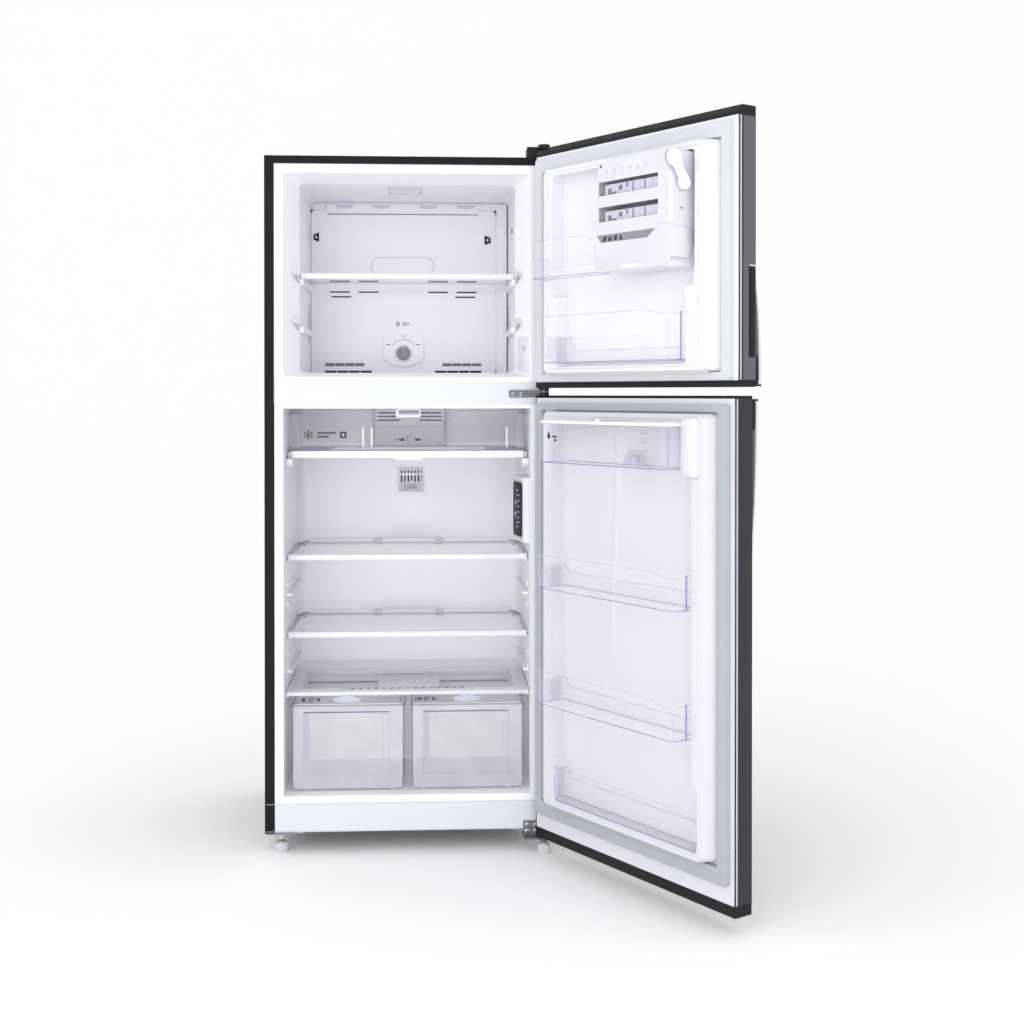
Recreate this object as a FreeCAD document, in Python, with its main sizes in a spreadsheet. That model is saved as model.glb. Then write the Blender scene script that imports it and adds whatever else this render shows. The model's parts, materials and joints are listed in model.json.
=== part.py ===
"""Top freezer refrigerator, two doors hinged on the right and standing open.

Frame: millimetres, +Z up, +X to the right and +Y to the back as seen by a person who stands in
front.  The origin is on the floor under the middle of the cabinet.  Doors are laid out closed,
in front of the cabinet, and each finished door piece is then swung about the hinge line.
"""
import FreeCAD, Part
import math
import os
import re

import Sketcher
from FreeCAD import Placement, Rotation, Vector

SIZES = {
    # cabinet
    "half_width": 345,
    "front": -295,
    "rear": 295,
    "bottom": 48,
    "top": 1690,
    "steel": 0.8,
    "side_flange": 24,
    "top_flange": 19,
    "liner": 2,
    "flange_half": 335,
    # the step over the machine compartment
    "floor_plate": 96,
    "machine_front": 120,
    "machine_top": 300,
    # freezer cavity
    "freezer_low": 1155,
    "freezer_high": 1650,
    "mouth_half": 301,
    "freezer_half": 267,
    "freezer_floor": 1166,
    "freezer_ceiling": 1633,
    "bevel_depth": 80,
    "freezer_depth": 515,
    "freezer_shelf_top": 1413,
    # fresh food cavity
    "fridge_half": 300,
    "fridge_low": 137.5,
    "fridge_high": 1078.5,
    "fridge_depth": 470,
    "hump_depth": 350,
    "hump_top": 380,
    "rail_low": 1087,
    "rail_high": 1143,
    "kick_top": 121,
    "upper_shelf_top": 715,
    "lower_shelf_top": 523,
    "shelf_set_back": 84,
    "shelf_end": 410,
    "glass": 4,
    "cover_top": 382,
    # evaporator wall
    "evaporator_face": 425,
    "cover_left": -266,
    "cover_right": 234,
    "cover_high": 1612,
    "knob_across": -17,
    "knob_height": 1224,
    "fan_height": 1500,
    # drawers
    "wall": 2.5,
    "chiller_low": 972.5,
    "chiller_high": 1071,
    "crisper_low": 141,
    "crisper_high": 372,
    # hinges
    "pin_across": 331,
    "pin_set_out": 28,
    "pin": 4,
    "pin_play": 0.06,
    "leaf": 4,
    "freezer_swing": 122.7,
    "fridge_swing": 121.9,
    # doors, measured out from the cabinet front
    "door_gap": 14,
    "door_edge": 61,
    "door_bow": 13,
    "skin": 0.8,
    "freezer_door_low": 1128,
    "freezer_door_high": 1706,
    "fridge_door_low": 40,
    "fridge_door_high": 1110,
    "freezer_panel_low": 1142,
    "freezer_panel_high": 1685,
    "fridge_panel_low": 64,
    "fridge_panel_high": 1104,
    "dike_left": -286,
    "dike_right": 264,
    "dike_proud": 24,
    "pocket_left": -253,
    "pocket_right": 232,
    "pocket_floor": 11,
    "gasket_half": 331,
    "gasket_width": 25,
    "bin_proud": 74,
    # feet and rollers
    "left_foot_across": -307,
    "foot_radius": 15.5,
    "foot_high": 22,
    "stem": 6,
    "roller": 22,
    "roller_back": 235,
}

doc = FreeCAD.newDocument("Refrigerator")
sheet = doc.addObject("Spreadsheet::Sheet", "Sizes")
for row, (alias, value) in enumerate(SIZES.items(), start=1):
    sheet.set(f"A{row}", alias)
    sheet.set(f"B{row}", str(value))
    sheet.setAlias(f"B{row}", alias)
doc.recompute()

KEPT = []
ROOT = "cabinet"


# ---------------------------------------------------------------- helpers
def size(alias):
    """Read one driving dimension from the sheet."""
    return float(sheet.get(alias))


def formula(text):
    """Turn words into references to the sheet's cells."""
    return re.sub(r"[a-z_]+", lambda word: "Sizes." + word[0], str(text))


def bind(item, **formulas):
    """Drive properties of an object from the sheet."""
    for name, text in formulas.items():
        item.setExpression(name.replace("__", "."), formula(text))
    return item


def at(item, corner):
    """Drive an object's position from the sheet."""
    for axis, text in zip("xyz", corner):
        item.setExpression(f"Placement.Base.{axis}", formula(text))
    return item


def out(distance):
    """Y of a plane that many millimetres behind the cabinet's front; minus is in front of it."""
    return f"front + ({distance})"


def box(low, high, name="Block"):
    """Block between two corners."""
    item = doc.addObject("Part::Box", name)
    for side, start, end in zip(("Length", "Width", "Height"), low, high):
        item.setExpression(side, formula(f"({end}) - ({start})"))
    return at(item, low)


AXIS_TURN = {
    "x": Rotation(Vector(0, 1, 0), 90),
    "y": Rotation(Vector(1, 0, 0), -90),
    "z": Rotation(),
}


def cylinder(base, radius, length, axis="z", name="Rod"):
    """Cylinder that starts at base and runs along +axis."""
    item = doc.addObject("Part::Cylinder", name)
    item.Placement = Placement(Vector(), AXIS_TURN[axis])
    bind(item, Radius=radius, Height=length)
    return at(item, base)


def wedge(low, high, back_low, back_high, name="Taper"):
    """Solid between a front rectangle and a smaller back rectangle, both in XZ planes."""
    item = doc.addObject("Part::Wedge", name)
    bind(item, Xmin=low[0], Ymin=low[1], Zmin=low[2], Xmax=high[0], Ymax=back_high[1])
    bind(item, Zmax=high[2], X2min=back_low[0], Z2min=back_low[2])
    return bind(item, X2max=back_high[0], Z2max=back_high[2])


def fuse(*pieces, name="Union"):
    """Join solids."""
    item = doc.addObject("Part::MultiFuse", name)
    item.Shapes = list(pieces)
    return item


def cut(base, *tools, name="Remainder"):
    """Take the tools away from the base."""
    item = doc.addObject("Part::Cut", name)
    item.Base = base
    item.Tool = tools[0] if len(tools) == 1 else fuse(*tools)
    return item


def group(*pieces, name="Group"):
    """Separate identical solids that share one node."""
    item = doc.addObject("Part::Compound", name)
    item.Links = list(pieces)
    return item


def turned(item, turn):
    """Turned copy holder of one solid."""
    holder = group(item)
    holder.Placement = turn
    return holder


def runs_along(edge, axis):
    """True when a straight edge is parallel to an axis."""
    if edge.Curve.TypeId != "Part::GeomLine":
        return False
    return abs(edge.tangentAt(edge.FirstParameter).dot(axis)) > 0.999


def rounded(base, radius, pick, name="Rounded"):
    """Round the edges of base that pick accepts."""
    doc.recompute()
    item = doc.addObject("Part::Fillet", name)
    item.Base = base
    item.Edges = [(i, radius, radius) for i, edge in enumerate(base.Shape.Edges, 1) if pick(edge)]
    return item


def upright(edge):
    """Edges that stand vertically."""
    return runs_along(edge, Vector(0, 0, 1))


def fore_and_aft(edge):
    """Edges that run from front to back."""
    return runs_along(edge, Vector(0, 1, 0))


def keep(item, label, swing=None):
    """Name a finished sub-part and, for a door piece, swing it about the hinge line."""
    item.Label = label
    if item.Label != label:
        raise ValueError(f"label {label} is taken")
    if swing:
        hinge = f"vector(Sizes.pin_across; Sizes.front - Sizes.pin_set_out; 0)"
        turn = f"rotation(vector(0; 0; 1); Sizes.{swing})"
        item.setExpression("Placement", f"placement(vector(0; 0; 0); {turn}; {hinge})")
    KEPT.append(item)
    return item


def new_body(name):
    """An empty PartDesign body."""
    return doc.addObject("PartDesign::Body", name)


def new_sketch(body, role, lift="0"):
    """A sketch on one of a body's own origin planes, lifted along its normal."""
    sketch = body.newObject("Sketcher::SketchObject", "Outline")
    plane = next(item for item in body.Origin.OriginFeatures if item.Role == role)
    sketch.AttachmentSupport = [(plane, "")]
    sketch.MapMode = "FlatFace"
    sketch.setExpression("AttachmentOffset.Base.z", formula(lift))
    return sketch


def drive(sketch, name, constraint, text):
    """Add a named sketch dimension that follows the sheet."""
    sketch.renameConstraint(sketch.addConstraint(constraint), name)
    sketch.setExpression(f"Constraints.{name}", formula(text))


def closed_loop(sketch, points):
    """Straight closed outline through points; returns the number of its first line."""
    first = len(sketch.Geometry)
    corners = [Vector(u, v, 0) for u, v in points]
    for start, end in zip(corners, corners[1:] + corners[:1]):
        sketch.addGeometry(Part.LineSegment(start, end), False)
    for i in range(len(corners)):
        follower = first + (i + 1) % len(corners)
        sketch.addConstraint(Sketcher.Constraint("Coincident", first + i, 2, follower, 1))
    return first


def circle(sketch, radius, u="0", v="0"):
    """Circle with its centre and radius driven by the sheet."""
    number = sketch.addGeometry(Part.Circle(Vector(1, 1, 0), Vector(0, 0, 1), 5), False)
    tag = f"c{number}"
    drive(sketch, tag + "radius", Sketcher.Constraint("Radius", number, 5.0), radius)
    if u == "0" and v == "0":
        sketch.addConstraint(Sketcher.Constraint("Coincident", number, 3, -1, 1))
        return
    drive(sketch, tag + "u", Sketcher.Constraint("DistanceX", -1, 1, number, 3, 1.0), u)
    drive(sketch, tag + "v", Sketcher.Constraint("DistanceY", -1, 1, number, 3, 1.0), v)


def pad(body, sketch, length):
    """Raise a sketch into a solid."""
    feature = body.newObject("PartDesign::Pad", "Pad")
    feature.Profile = sketch
    return bind(feature, Length=length)


def pocket(body, sketch, length, reverse=False):
    """Sink a sketch into the solid."""
    feature = body.newObject("PartDesign::Pocket", "Pocket")
    feature.Profile = sketch
    feature.Reversed = reverse
    return bind(feature, Length=length)


def spin(body, points):
    """Turn an outline of (radius, height) points about the body's Z axis."""
    sketch = new_sketch(body, "XZ_Plane")
    closed_loop(sketch, points)
    feature = body.newObject("PartDesign::Revolution", "Revolution")
    feature.Profile = sketch
    feature.ReferenceAxis = (sketch, ["V_Axis"])
    feature.Angle = 360
    return feature


def tub(low, high, radius, wall="wall"):
    """Open-topped box with rounded upright corners."""
    outer = rounded(box(low, high), radius, upright)
    inner_low = [f"({text}) + {wall}" for text in low]
    inner_high = [f"({high[0]}) - {wall}", f"({high[1]}) - {wall}", f"({high[2]}) + 5"]
    inner = rounded(box(inner_low, inner_high), radius - size(wall), upright)
    return cut(outer, inner)


# ---------------------------------------------------------------- cabinet shell
def cabinet_shell():
    """Painted steel wrapper: two sides and a top, turned in as a flange round the front."""
    outer = box(("-half_width", "front", "bottom"), ("half_width", "rear", "top"))
    inside = box(
        ("steel - half_width", "front + steel", "bottom - 1"),
        ("half_width - steel", "rear + 1", "top - steel"),
    )
    mouth = box(
        ("side_flange - half_width", "front - 1", "bottom - 1"),
        ("half_width - side_flange", "front + 2", "top - top_flange"),
    )
    keep(cut(outer, inside, mouth), "cabinet_shell")


def rear_panel():
    """Steel back, bent in over the machine compartment and down its front."""
    side = "half_width - steel"
    upright_sheet = box((f"-({side})", "rear - steel", "machine_top"), (side, "rear", "top - steel"))
    shelf_sheet = box(
        (f"-({side})", "machine_front", "machine_top"), (side, "rear", "machine_top + steel")
    )
    inner_sheet = box(
        (f"-({side})", "machine_front", "floor_plate"),
        (side, "machine_front + steel", "machine_top + steel"),
    )
    keep(fuse(upright_sheet, shelf_sheet, inner_sheet), "rear_panel")


def rear_cover():
    """Removable board over the machine compartment, with rows of cooling slots."""
    side = "half_width - steel"
    board = box((f"-({side})", "rear - steel", "62"), (side, "rear", "machine_top"))
    slots = []
    for column in range(9):
        for row in range(6):
            left = -290 + 66 * column
            low = 96 + 32 * row
            slots.append(box((left, "rear - 2", low), (left + 46, "rear + 1", low + 9)))
    inlet = box((230, "rear - 2", 66), (268, "rear + 1", 90))
    keep(cut(board, inlet, *slots), "rear_cover")


def cord_inlet():
    """Gland in the rear cover where the supply cord would leave."""
    flange = box((226, "rear", 63), (272, "rear + 2", 93))
    barrel = box((230.3, "rear - 14", 66.3), (267.7, "rear", 89.7))
    passage = cylinder((249, "rear - 15", 78), 4.2, 20, "y")
    keep(cut(fuse(flange, barrel), passage), "cord_inlet")


# ---------------------------------------------------------------- liners and foam
def freezer_liner():
    """Vacuum-formed freezer box with a tapered mouth and shelf rails; returns its outer solid."""
    face = "front + steel"
    plate = box(
        ("-flange_half", face, "rail_high"), ("flange_half", f"{face} + liner", "top - 9")
    )
    deep = out("bevel_depth")
    end = out("freezer_depth")
    taper = wedge(
        ("-mouth_half - liner", face, "freezer_low - liner"),
        ("mouth_half + liner", face, "freezer_high + liner"),
        ("-freezer_half - liner", deep, "freezer_floor - liner"),
        ("freezer_half + liner", deep, "freezer_ceiling + liner"),
    )
    shell = box(
        ("-freezer_half - liner", deep, "freezer_floor - liner"),
        ("freezer_half + liner", f"{end} + liner", "freezer_ceiling + liner"),
    )
    outer = fuse(plate, taper, shell)
    mouth = wedge(
        ("-mouth_half", face, "freezer_low"),
        ("mouth_half", face, "freezer_high"),
        ("-freezer_half", deep, "freezer_floor"),
        ("freezer_half", deep, "freezer_ceiling"),
    )
    mouth = rounded(mouth, 12, lambda edge: abs(edge.BoundBox.YLength) > 50)
    hollow = box(
        ("-freezer_half", f"{deep} - 0.01", "freezer_floor"),
        ("freezer_half", end, "freezer_ceiling"),
    )
    hollow = rounded(hollow, 12, fore_and_aft)
    rails = []
    for side in (-1, 1):
        wall_x = f"{side} * freezer_half"
        inner_x = f"{side} * (freezer_half - 9)"
        near, far = (wall_x, inner_x) if side < 0 else (inner_x, wall_x)
        for height in (1384, 1266):
            rails.append(box((near, f"{deep} + 2", height), (far, out(392), height + 14)))
            peg_x = f"{side} * (freezer_half + 4)"
            rails.append(cylinder((peg_x, out(40), height + 26), 6, 44, "y"))
    liner = fuse(cut(outer, mouth, hollow), cut(fuse(*rails), outside_of(outer)))
    keep(liner, "freezer_liner")
    return outer


def outside_of(solid):
    """Everything round a solid, as a tool that trims what stands out of it."""
    block = box(("-half_width - 50", "front - 50", 0), ("half_width + 50", "rear + 50", 2000))
    return cut(block, solid)


def fridge_hollow(extra):
    """Fresh food space, stepped over the machine compartment, grown by a margin."""
    half = f"fridge_half + {extra}"
    upper = box(
        (f"-({half})", "front + steel", "hump_top - 0"),
        (half, out(f"fridge_depth + {extra}"), f"fridge_high + {extra}"),
    )
    lower = box(
        (f"-({half})", "front + steel", f"fridge_low - {extra}"),
        (half, out(f"hump_depth + {extra}"), "hump_top + 40"),
    )
    return upper, lower


def fridge_liner():
    """Vacuum-formed fresh food box with ledges for the shelves; returns its outer solid."""
    face = "front + steel"
    plate = box(("-flange_half", face, "kick_top"), ("flange_half", f"{face} + liner", "rail_low"))
    upper_out, lower_out = fridge_hollow("liner")
    outer = fuse(plate, upper_out, lower_out)
    upper_in, lower_in = fridge_hollow(0)
    raised = at(upper_in, ("-fridge_half", face, "hump_top + liner"))
    bind(raised, Height="fridge_high - hump_top - liner")
    back = out("fridge_depth")
    upper_in = rounded(raised, 22, lambda edge: upright(edge) and edge.BoundBox.YMin > 0)
    lower_in = rounded(lower_in, 18, lambda edge: upright(edge) and edge.BoundBox.YMin > 0)
    ledges = []
    for side in (-1, 1):
        wall_x = f"{side} * (fridge_half + 1)"
        inner_x = f"{side} * (fridge_half - 12)"
        near, far = (wall_x, inner_x) if side < 0 else (inner_x, wall_x)
        for shelf in ("upper_shelf_top", "lower_shelf_top"):
            for drop in (0, 92):
                low = f"{shelf} - glass - 8.2 - {drop}"
                ledges.append(
                    box((near, out("shelf_set_back + 16"), low), (far, out(400), f"{low} + 6"))
                )
        narrow_x = f"{side} * (fridge_half - 8)"
        near, far = (wall_x, narrow_x) if side < 0 else (narrow_x, wall_x)
        ledges.append(box((near, out(60), "cover_top - 15"), (far, out("hump_depth - 2"), "cover_top - 8.2")))
        ledges.append(box((near, out(92), 934), (far, out(400), 953)))
        for offset in (40, 250):
            strip = side * offset - 4
            ledges.append(box((strip, out(60), "fridge_low - 1"), (strip + 8, out("hump_depth - 18"), "fridge_low + 3")))
    keep(fuse(cut(outer, upper_in, lower_in), *ledges), "fridge_liner")
    return outer


def center_rail():
    """White cross rail between the two mouths."""
    half = "half_width - side_flange"
    bar = box((f"-({half})", "front", "rail_low"), (half, "front + 20", "rail_high"))
    inside = box(
        (f"2 - ({half})", "front + 2", "rail_low + 2"), (f"({half}) - 2", "front + 21", "rail_high - 2")
    )
    return keep(cut(bar, inside), "center_rail")


def cabinet_foam(*fillers):
    """Foamed insulation that fills the cabinet round its liners."""
    side = "half_width - steel"
    block = box(
        (f"-({side})", "front + steel", "floor_plate"), (side, "rear - steel", "top - steel")
    )
    machine = box(
        (f"-({side}) - 1", "machine_front", "floor_plate - 1"),
        (f"{side} + 1", "rear", "machine_top + steel"),
    )
    kick = box(
        ("-half_width", "front", "floor_plate - 1"), ("half_width", "front + 4", "kick_top")
    )
    keep(cut(block, machine, kick, *fillers), "cabinet_foam")


# ---------------------------------------------------------------- base
def base_panel():
    """White kick panel below the fresh food mouth, folded back at its lower edge."""
    half = "half_width - steel"
    face = box((f"-({half})", "front + steel", "bottom + 2.5"), (half, "front + 3", "kick_top"))
    fold = box(
        (f"-({half})", "front + steel", "bottom + 2.5"), (half, "front + 10", "bottom + 4")
    )
    keep(fuse(face, fold), "base_panel")


def base_frame():
    """Steel floor plate, side rails, compressor plate and roller brackets."""
    half = "half_width - steel"
    parts = [box((f"-({half})", "front + 3", "floor_plate - 1.5"), (half, "machine_front", "floor_plate"))]
    for side in (-1, 1):
        edge = f"{side} * ({half})"
        web = f"{side} * ({half} - 2)"
        lip = f"{side} * ({half} - 92)"
        for inner, low, high, start, end in (
            (web, "bottom + 4", "floor_plate - 1.5", "front + 3", "rear - steel"),
            (lip, "bottom", "bottom + 2", "front + 2", "front + 60"),
            (f"{side} * ({half} - 60)", "bottom", "bottom + 2", "front + 60", "rear - steel"),
            (web, "bottom", "bottom + 5", "front + 26", "rear - steel"),
        ):
            near, far = (edge, inner) if side < 0 else (inner, edge)
            parts.append(box((near, start, low), (far, end, high)))
        for ear in (290 - 13, 290 + 10):
            left = side * ear if side > 0 else side * ear - 3
            parts.append(
                box((left, "roller_back - 12", "roller - 9"), (left + 3, "roller_back + 12", "bottom + 1"))
            )
        axle_start = side * 290 - 13
        parts.append(cylinder((axle_start, "roller_back", "roller"), 4, 26, "x"))
    parts.append(box((-300, "machine_front + 15", "bottom"), (300, "rear - 10", "bottom + 2")))
    hole = cylinder(("left_foot_across", out(20), "bottom - 5"), "stem + pin_play", 20)
    keep(cut(fuse(*parts), hole), "base_frame")


def foot(label, across, back, stem_top):
    """Levelling foot: a broad scalloped wheel on a threaded stem."""
    wheel = cylinder((across, back, 0), "foot_radius", "foot_high")
    neck = cylinder((across, back, "foot_high"), "stem + 2.5", 3)
    stem = cylinder((across, back, 0), "stem", stem_top)
    notches = []
    for step in range(12):
        angle = math.radians(30 * step)
        notch_x = f"({across}) + (foot_radius + 1.6) * {math.cos(angle):.6f}"
        notch_y = f"({back}) + (foot_radius + 1.6) * {math.sin(angle):.6f}"
        notches.append(cylinder((notch_x, notch_y, 5), 3, "foot_high"))
    keep(fuse(cut(wheel, *notches), neck, stem), label)


def rear_rollers():
    """Two plain rollers on one axle line under the back of the cabinet."""
    wheels = []
    for side in (-1, 1):
        start = side * 290 - 8
        tyre = cylinder((start, "roller_back", "roller"), "roller", 16, "x")
        bore = cylinder((start - 1, "roller_back", "roller"), "4 + pin_play", 18, "x")
        wheels.append(cut(tyre, bore))
    keep(group(*wheels), "rear_rollers")


def compressor():
    """Sealed compressor shell on its mounting plate, with a terminal box and pipe stubs."""
    body = new_body("Compressor")
    spin(
        body,
        [(0, 66), (62, 66), (76, 84), (78, 104), (78, 150), (72, 182), (50, 206), (20, 216), (0, 217)],
    )
    at(body, (-150, "machine_front + 93", 0))
    plate = box((-245, "machine_front + 35", "bottom + 12"), (-55, "machine_front + 150", 66))
    feet = []
    for across in (-232, -68):
        for back in (52, 133):
            feet.append(cylinder((across, f"machine_front + {back}", "bottom + 2"), 11, 11))
    terminal = box((-75, "machine_front + 70", 104), (-52, "machine_front + 118", 158))
    keep(fuse(body, plate, terminal, *feet), "compressor")


# ---------------------------------------------------------------- hinges
def hinge_pin(low, high):
    """Pin on the hinge line between two heights."""
    return cylinder(("pin_across", "front - pin_set_out", low), "pin", f"({high}) - ({low})")


def top_hinge():
    """Stepped steel leaf on the cabinet top with a pin down into the freezer door."""
    low = "freezer_door_high + 2.5"
    high = f"{low} + 3"
    base = box((296, "front + 5", "top"), (342, "front + 56", "top + 3"))
    riser = box((296, "front + 5", "top"), (342, "front + 8", high))
    arm = box(("pin_across - 11", "front - pin_set_out", low), ("pin_across + 11", "front + 8", high))
    nose = cylinder(("pin_across", "front - pin_set_out", low), 11, 3)
    keep(fuse(base, riser, arm, nose, hinge_pin("top - 2", high)), "top_hinge")


def top_hinge_cover():
    """Black moulded cover over the top hinge, open underneath."""
    high = "top + 26"
    sill = "freezer_door_high + 2"
    body = box((292, "front + 1", "top"), ("half_width", "front + 62", high))
    brow = box(("pin_across - 14", "front - pin_set_out", sill), ("half_width", "front + 2", high))
    nose = cylinder(("pin_across", "front - pin_set_out", sill), 14, f"({high}) - ({sill})")
    outer = fuse(body, brow, nose)
    hollow = box((294.5, "front + 3.5", "top - 1"), ("half_width - 1.5", "front + 59.5", "top + 23.5"))
    channel = box(
        ("pin_across - 11.7", "front - pin_set_out", "top - 1"),
        ("half_width - 1.5", "front + 5", f"{sill} + 4"),
    )
    round_end = cylinder(("pin_across", "front - pin_set_out", "top - 1"), 11.7, f"{sill} + 5 - top")
    keep(cut(outer, hollow, channel, round_end), "top_hinge_cover")


def middle_hinge():
    """Bracket on the cross rail between the doors, with a pin up and a pin down."""
    low = "freezer_door_low - 11"
    plate = box((247, "front - 3", "rail_low + 18"), ("half_width - 10", "front", f"{low} + leaf"))
    tongue = box((290, "front - pin_set_out", low), ("pin_across + 11", "front", f"{low} + leaf"))
    nose = cylinder(("pin_across", "front - pin_set_out", low), 11, "leaf")
    pins = hinge_pin(f"{low} - 24", f"{low} + leaf + 24")
    keep(fuse(plate, tongue, nose, pins), "middle_hinge")


def bottom_hinge():
    """Bracket under the cabinet: upright plate, leaf, pin up and socket for the right foot."""
    low = "bottom - 17"
    plate = box((282, "front - 3", low), (322, "front", 70))
    leaf = box((282, "front - pin_set_out", low), ("pin_across + 12", "front + 30", f"{low} + leaf"))
    side_tab = box((282, "front + 27", low), ("pin_across + 12", "front + 30", "bottom"))
    nose = cylinder(("pin_across", "front - pin_set_out", low), 12, "leaf")
    boss = cylinder(("pin_across", "front - pin_set_out", low), "stem + 3", 8)
    socket = cylinder(("pin_across", "front - pin_set_out", f"{low} - 1"), "stem + pin_play", 8)
    pin = hinge_pin(f"{low} + 7", "fridge_door_low + 20")
    keep(fuse(cut(fuse(plate, leaf, side_tab, nose, boss), socket), pin), "bottom_hinge")


def hinge_screws():
    """Round-headed screws that hold the three hinges."""
    screws = []
    for across in (258, 278):
        screws.append(cylinder((across, "front - 5.5", "freezer_door_low - 15"), 4, 2.5, "y"))
    for height in (45, 60):
        for across in (291, 312):
            screws.append(cylinder((across, "front - 5.5", height), 4.2, 2.5, "y"))
    for across in (306, 332):
        screws.append(cylinder((across, "front + 36", "top + 3"), 5, 3.2))
    keep(group(*screws), "hinge_screws")


# ---------------------------------------------------------------- freezer inside
def evaporator_cover():
    """Moulded wall in front of the evaporator with air slots and a hood at the top."""
    face = out("evaporator_face")
    sheet_solid = box(
        ("cover_left", face, "freezer_floor + 1"), ("cover_right", f"{face} + 3", "cover_high")
    )
    plate = rounded(sheet_solid, 12, fore_and_aft)
    centre = "knob_across"
    cuts = []

    def slot(offset, width, low, height):
        """One air slot and its mirror image about the middle of the cover."""
        for side in (-1, 1):
            start = f"{centre} + {side} * {offset}"
            near, far = (start, f"{start} + {width}") if side > 0 else (f"{start} - {width}", start)
            cuts.append(box((near, f"{face} - 1", low), (far, f"{face} + 5", f"{low} + {height}")))

    slot(67, 54, 1417, 4)
    slot(145, 54, 1417, 4)
    slot(67, 54, 1388, 4)
    slot(145, 54, 1388, 4)
    slot(141, 54, 1375, 4)
    slot(106, 106, 1189, 8)
    slot(86, 126, 1169, 8)
    hood = box((f"{centre} - 205", f"{face} - 1", "cover_high - 12"), (f"{centre} + 203", f"{face} + 5", "cover_high + 1"))
    bulge = cylinder((centre, f"{face} - 8", 1262), 74, 8, "y")
    below = box((f"{centre} - 90", f"{face} - 9", 1262), (f"{centre} + 90", f"{face} + 1", 1400))
    sides = [
        box((f"{centre} + {x}", f"{face} - 9", 1160), (f"{centre} + {x + 60}", f"{face} + 1", 1300))
        for x in (-114, 54)
    ]
    knob_hole = cylinder((centre, f"{face} - 10", "knob_height"), "6 + pin_play", 20, "y")
    column = box(
        ("cover_right + 2", f"{face} - 5", "freezer_floor + 5"),
        ("freezer_half - 3", f"{face} + 3", "freezer_ceiling - 5"),
    )
    strip = box(
        ("cover_right - 4", f"{face} + 1.5", "freezer_floor + 14"),
        ("cover_right + 4", f"{face} + 3", "cover_high - 16"),
    )
    panel = cut(fuse(plate, cut(bulge, below, *sides)), hood, knob_hole, *cuts)
    keep(fuse(panel, column, strip), "evaporator_cover")


def temperature_knob():
    """Round cold-control knob with a finger rib and a spindle through the cover."""
    face = out("evaporator_face")
    front_face = f"{face} - 22"
    disc = cylinder(("knob_across", front_face, "knob_height"), 17, 13, "y")
    rib = box(
        ("knob_across - 2.5", f"{front_face} - 5", "knob_height - 16"),
        ("knob_across + 2.5", front_face, "knob_height + 16"),
    )
    spindle = cylinder(("knob_across", front_face, "knob_height"), 6, 34, "y")
    keep(fuse(disc, rib, spindle), "temperature_knob")


def evaporator_coil():
    """Finned tube evaporator behind the cover."""
    start = out("evaporator_face + 14")
    end = out("evaporator_face + 64")
    fins = [
        box((-228 + 22 * i, start, 1232), (-227 + 22 * i, end, 1392)) for i in range(20)
    ]
    tubes = []
    for row in range(5):
        for back in (27, 52):
            tubes.append(
                cylinder((-240, out(f"evaporator_face + {back}"), 1248 + 32 * row), 4, 446, "x")
            )
    keep(fuse(*fins, *tubes), "evaporator_coil")


def fan_motor():
    """Evaporator fan motor on a cross bracket, with the shaft to the front."""
    across = "knob_across"
    shaft_base = out("evaporator_face + 20")
    motor = cylinder((across, out("evaporator_face + 44"), "fan_height"), 26, 34, "y")
    shaft = cylinder((across, shaft_base, "fan_height"), 3, 30, "y")
    bracket = box(
        ("-freezer_half + 2", out("evaporator_face + 78"), "fan_height - 12"),
        ("freezer_half - 2", out("evaporator_face + 80"), "fan_height + 12"),
    )
    keep(fuse(motor, shaft, bracket), "fan_motor")


def fan_blade():
    """Four-bladed fan on the motor shaft."""
    body = new_body("Fan")
    hub = new_sketch(body, "XZ_Plane")
    circle(hub, 16)
    pad(body, hub, 16)
    blade = new_sketch(body, "XZ_Plane", "5")
    first = closed_loop(blade, [(12, -13), (58, -20), (62, 14), (12, 13)])
    blade.addConstraint(Sketcher.Constraint("Block", first))
    pad(body, blade, 3)
    doc.recompute()
    pattern = body.newObject("PartDesign::PolarPattern", "Blades")
    pattern.Originals = [body.Tip]
    axis = next(item for item in body.Origin.OriginFeatures if item.Role == "Y_Axis")
    pattern.Axis = (axis, [""])
    pattern.Angle = 360
    pattern.Occurrences = 4
    body.Tip = pattern
    bore_sketch = new_sketch(body, "XZ_Plane", "-1")
    circle(bore_sketch, "3 + pin_play")
    pocket(body, bore_sketch, 20, reverse=True)
    at(body, ("knob_across", out("evaporator_face + 38"), "fan_height"))
    keep(body, "fan_blade")


# ---------------------------------------------------------------- shelves
def shelf_sizes():
    """Half width, front, rear, top of the glass, for the freezer and the two fridge shelves."""
    return (
        ("freezer_half - 3", "shelf_set_back", 388, "freezer_shelf_top"),
        ("fridge_half - 4", "shelf_set_back", "shelf_end", "upper_shelf_top"),
        ("fridge_half - 4", "shelf_set_back", "shelf_end", "lower_shelf_top"),
    )


def glass_shelves():
    """Toughened glass panes of the freezer shelf and the two fridge shelves."""
    panes = []
    for half, start, end, top in shelf_sizes():
        panes.append(
            box(
                (f"1.5 - ({half})", out(f"{start} + 6"), f"{top} - glass - 1"),
                (f"({half}) - 1.5", out(f"{end} - 6"), f"{top} - 1"),
            )
        )
    keep(group(*panes), "glass_shelves")
    return panes


def shelf_trims(panes):
    """White front and rear edge trims that grip the shelf panes."""
    trims = []
    for (half, start, end, top), pane in zip(shelf_sizes(), panes):
        for near, far, low in ((start, f"{start} + 12", f"{top} - 14"), (f"{end} - 10", end, f"{top} - 9")):
            bar = box((f"-({half})", out(near), low), (half, out(far), top))
            trims.append(cut(bar, pane))
    keep(group(*trims), "shelf_trims")


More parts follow.
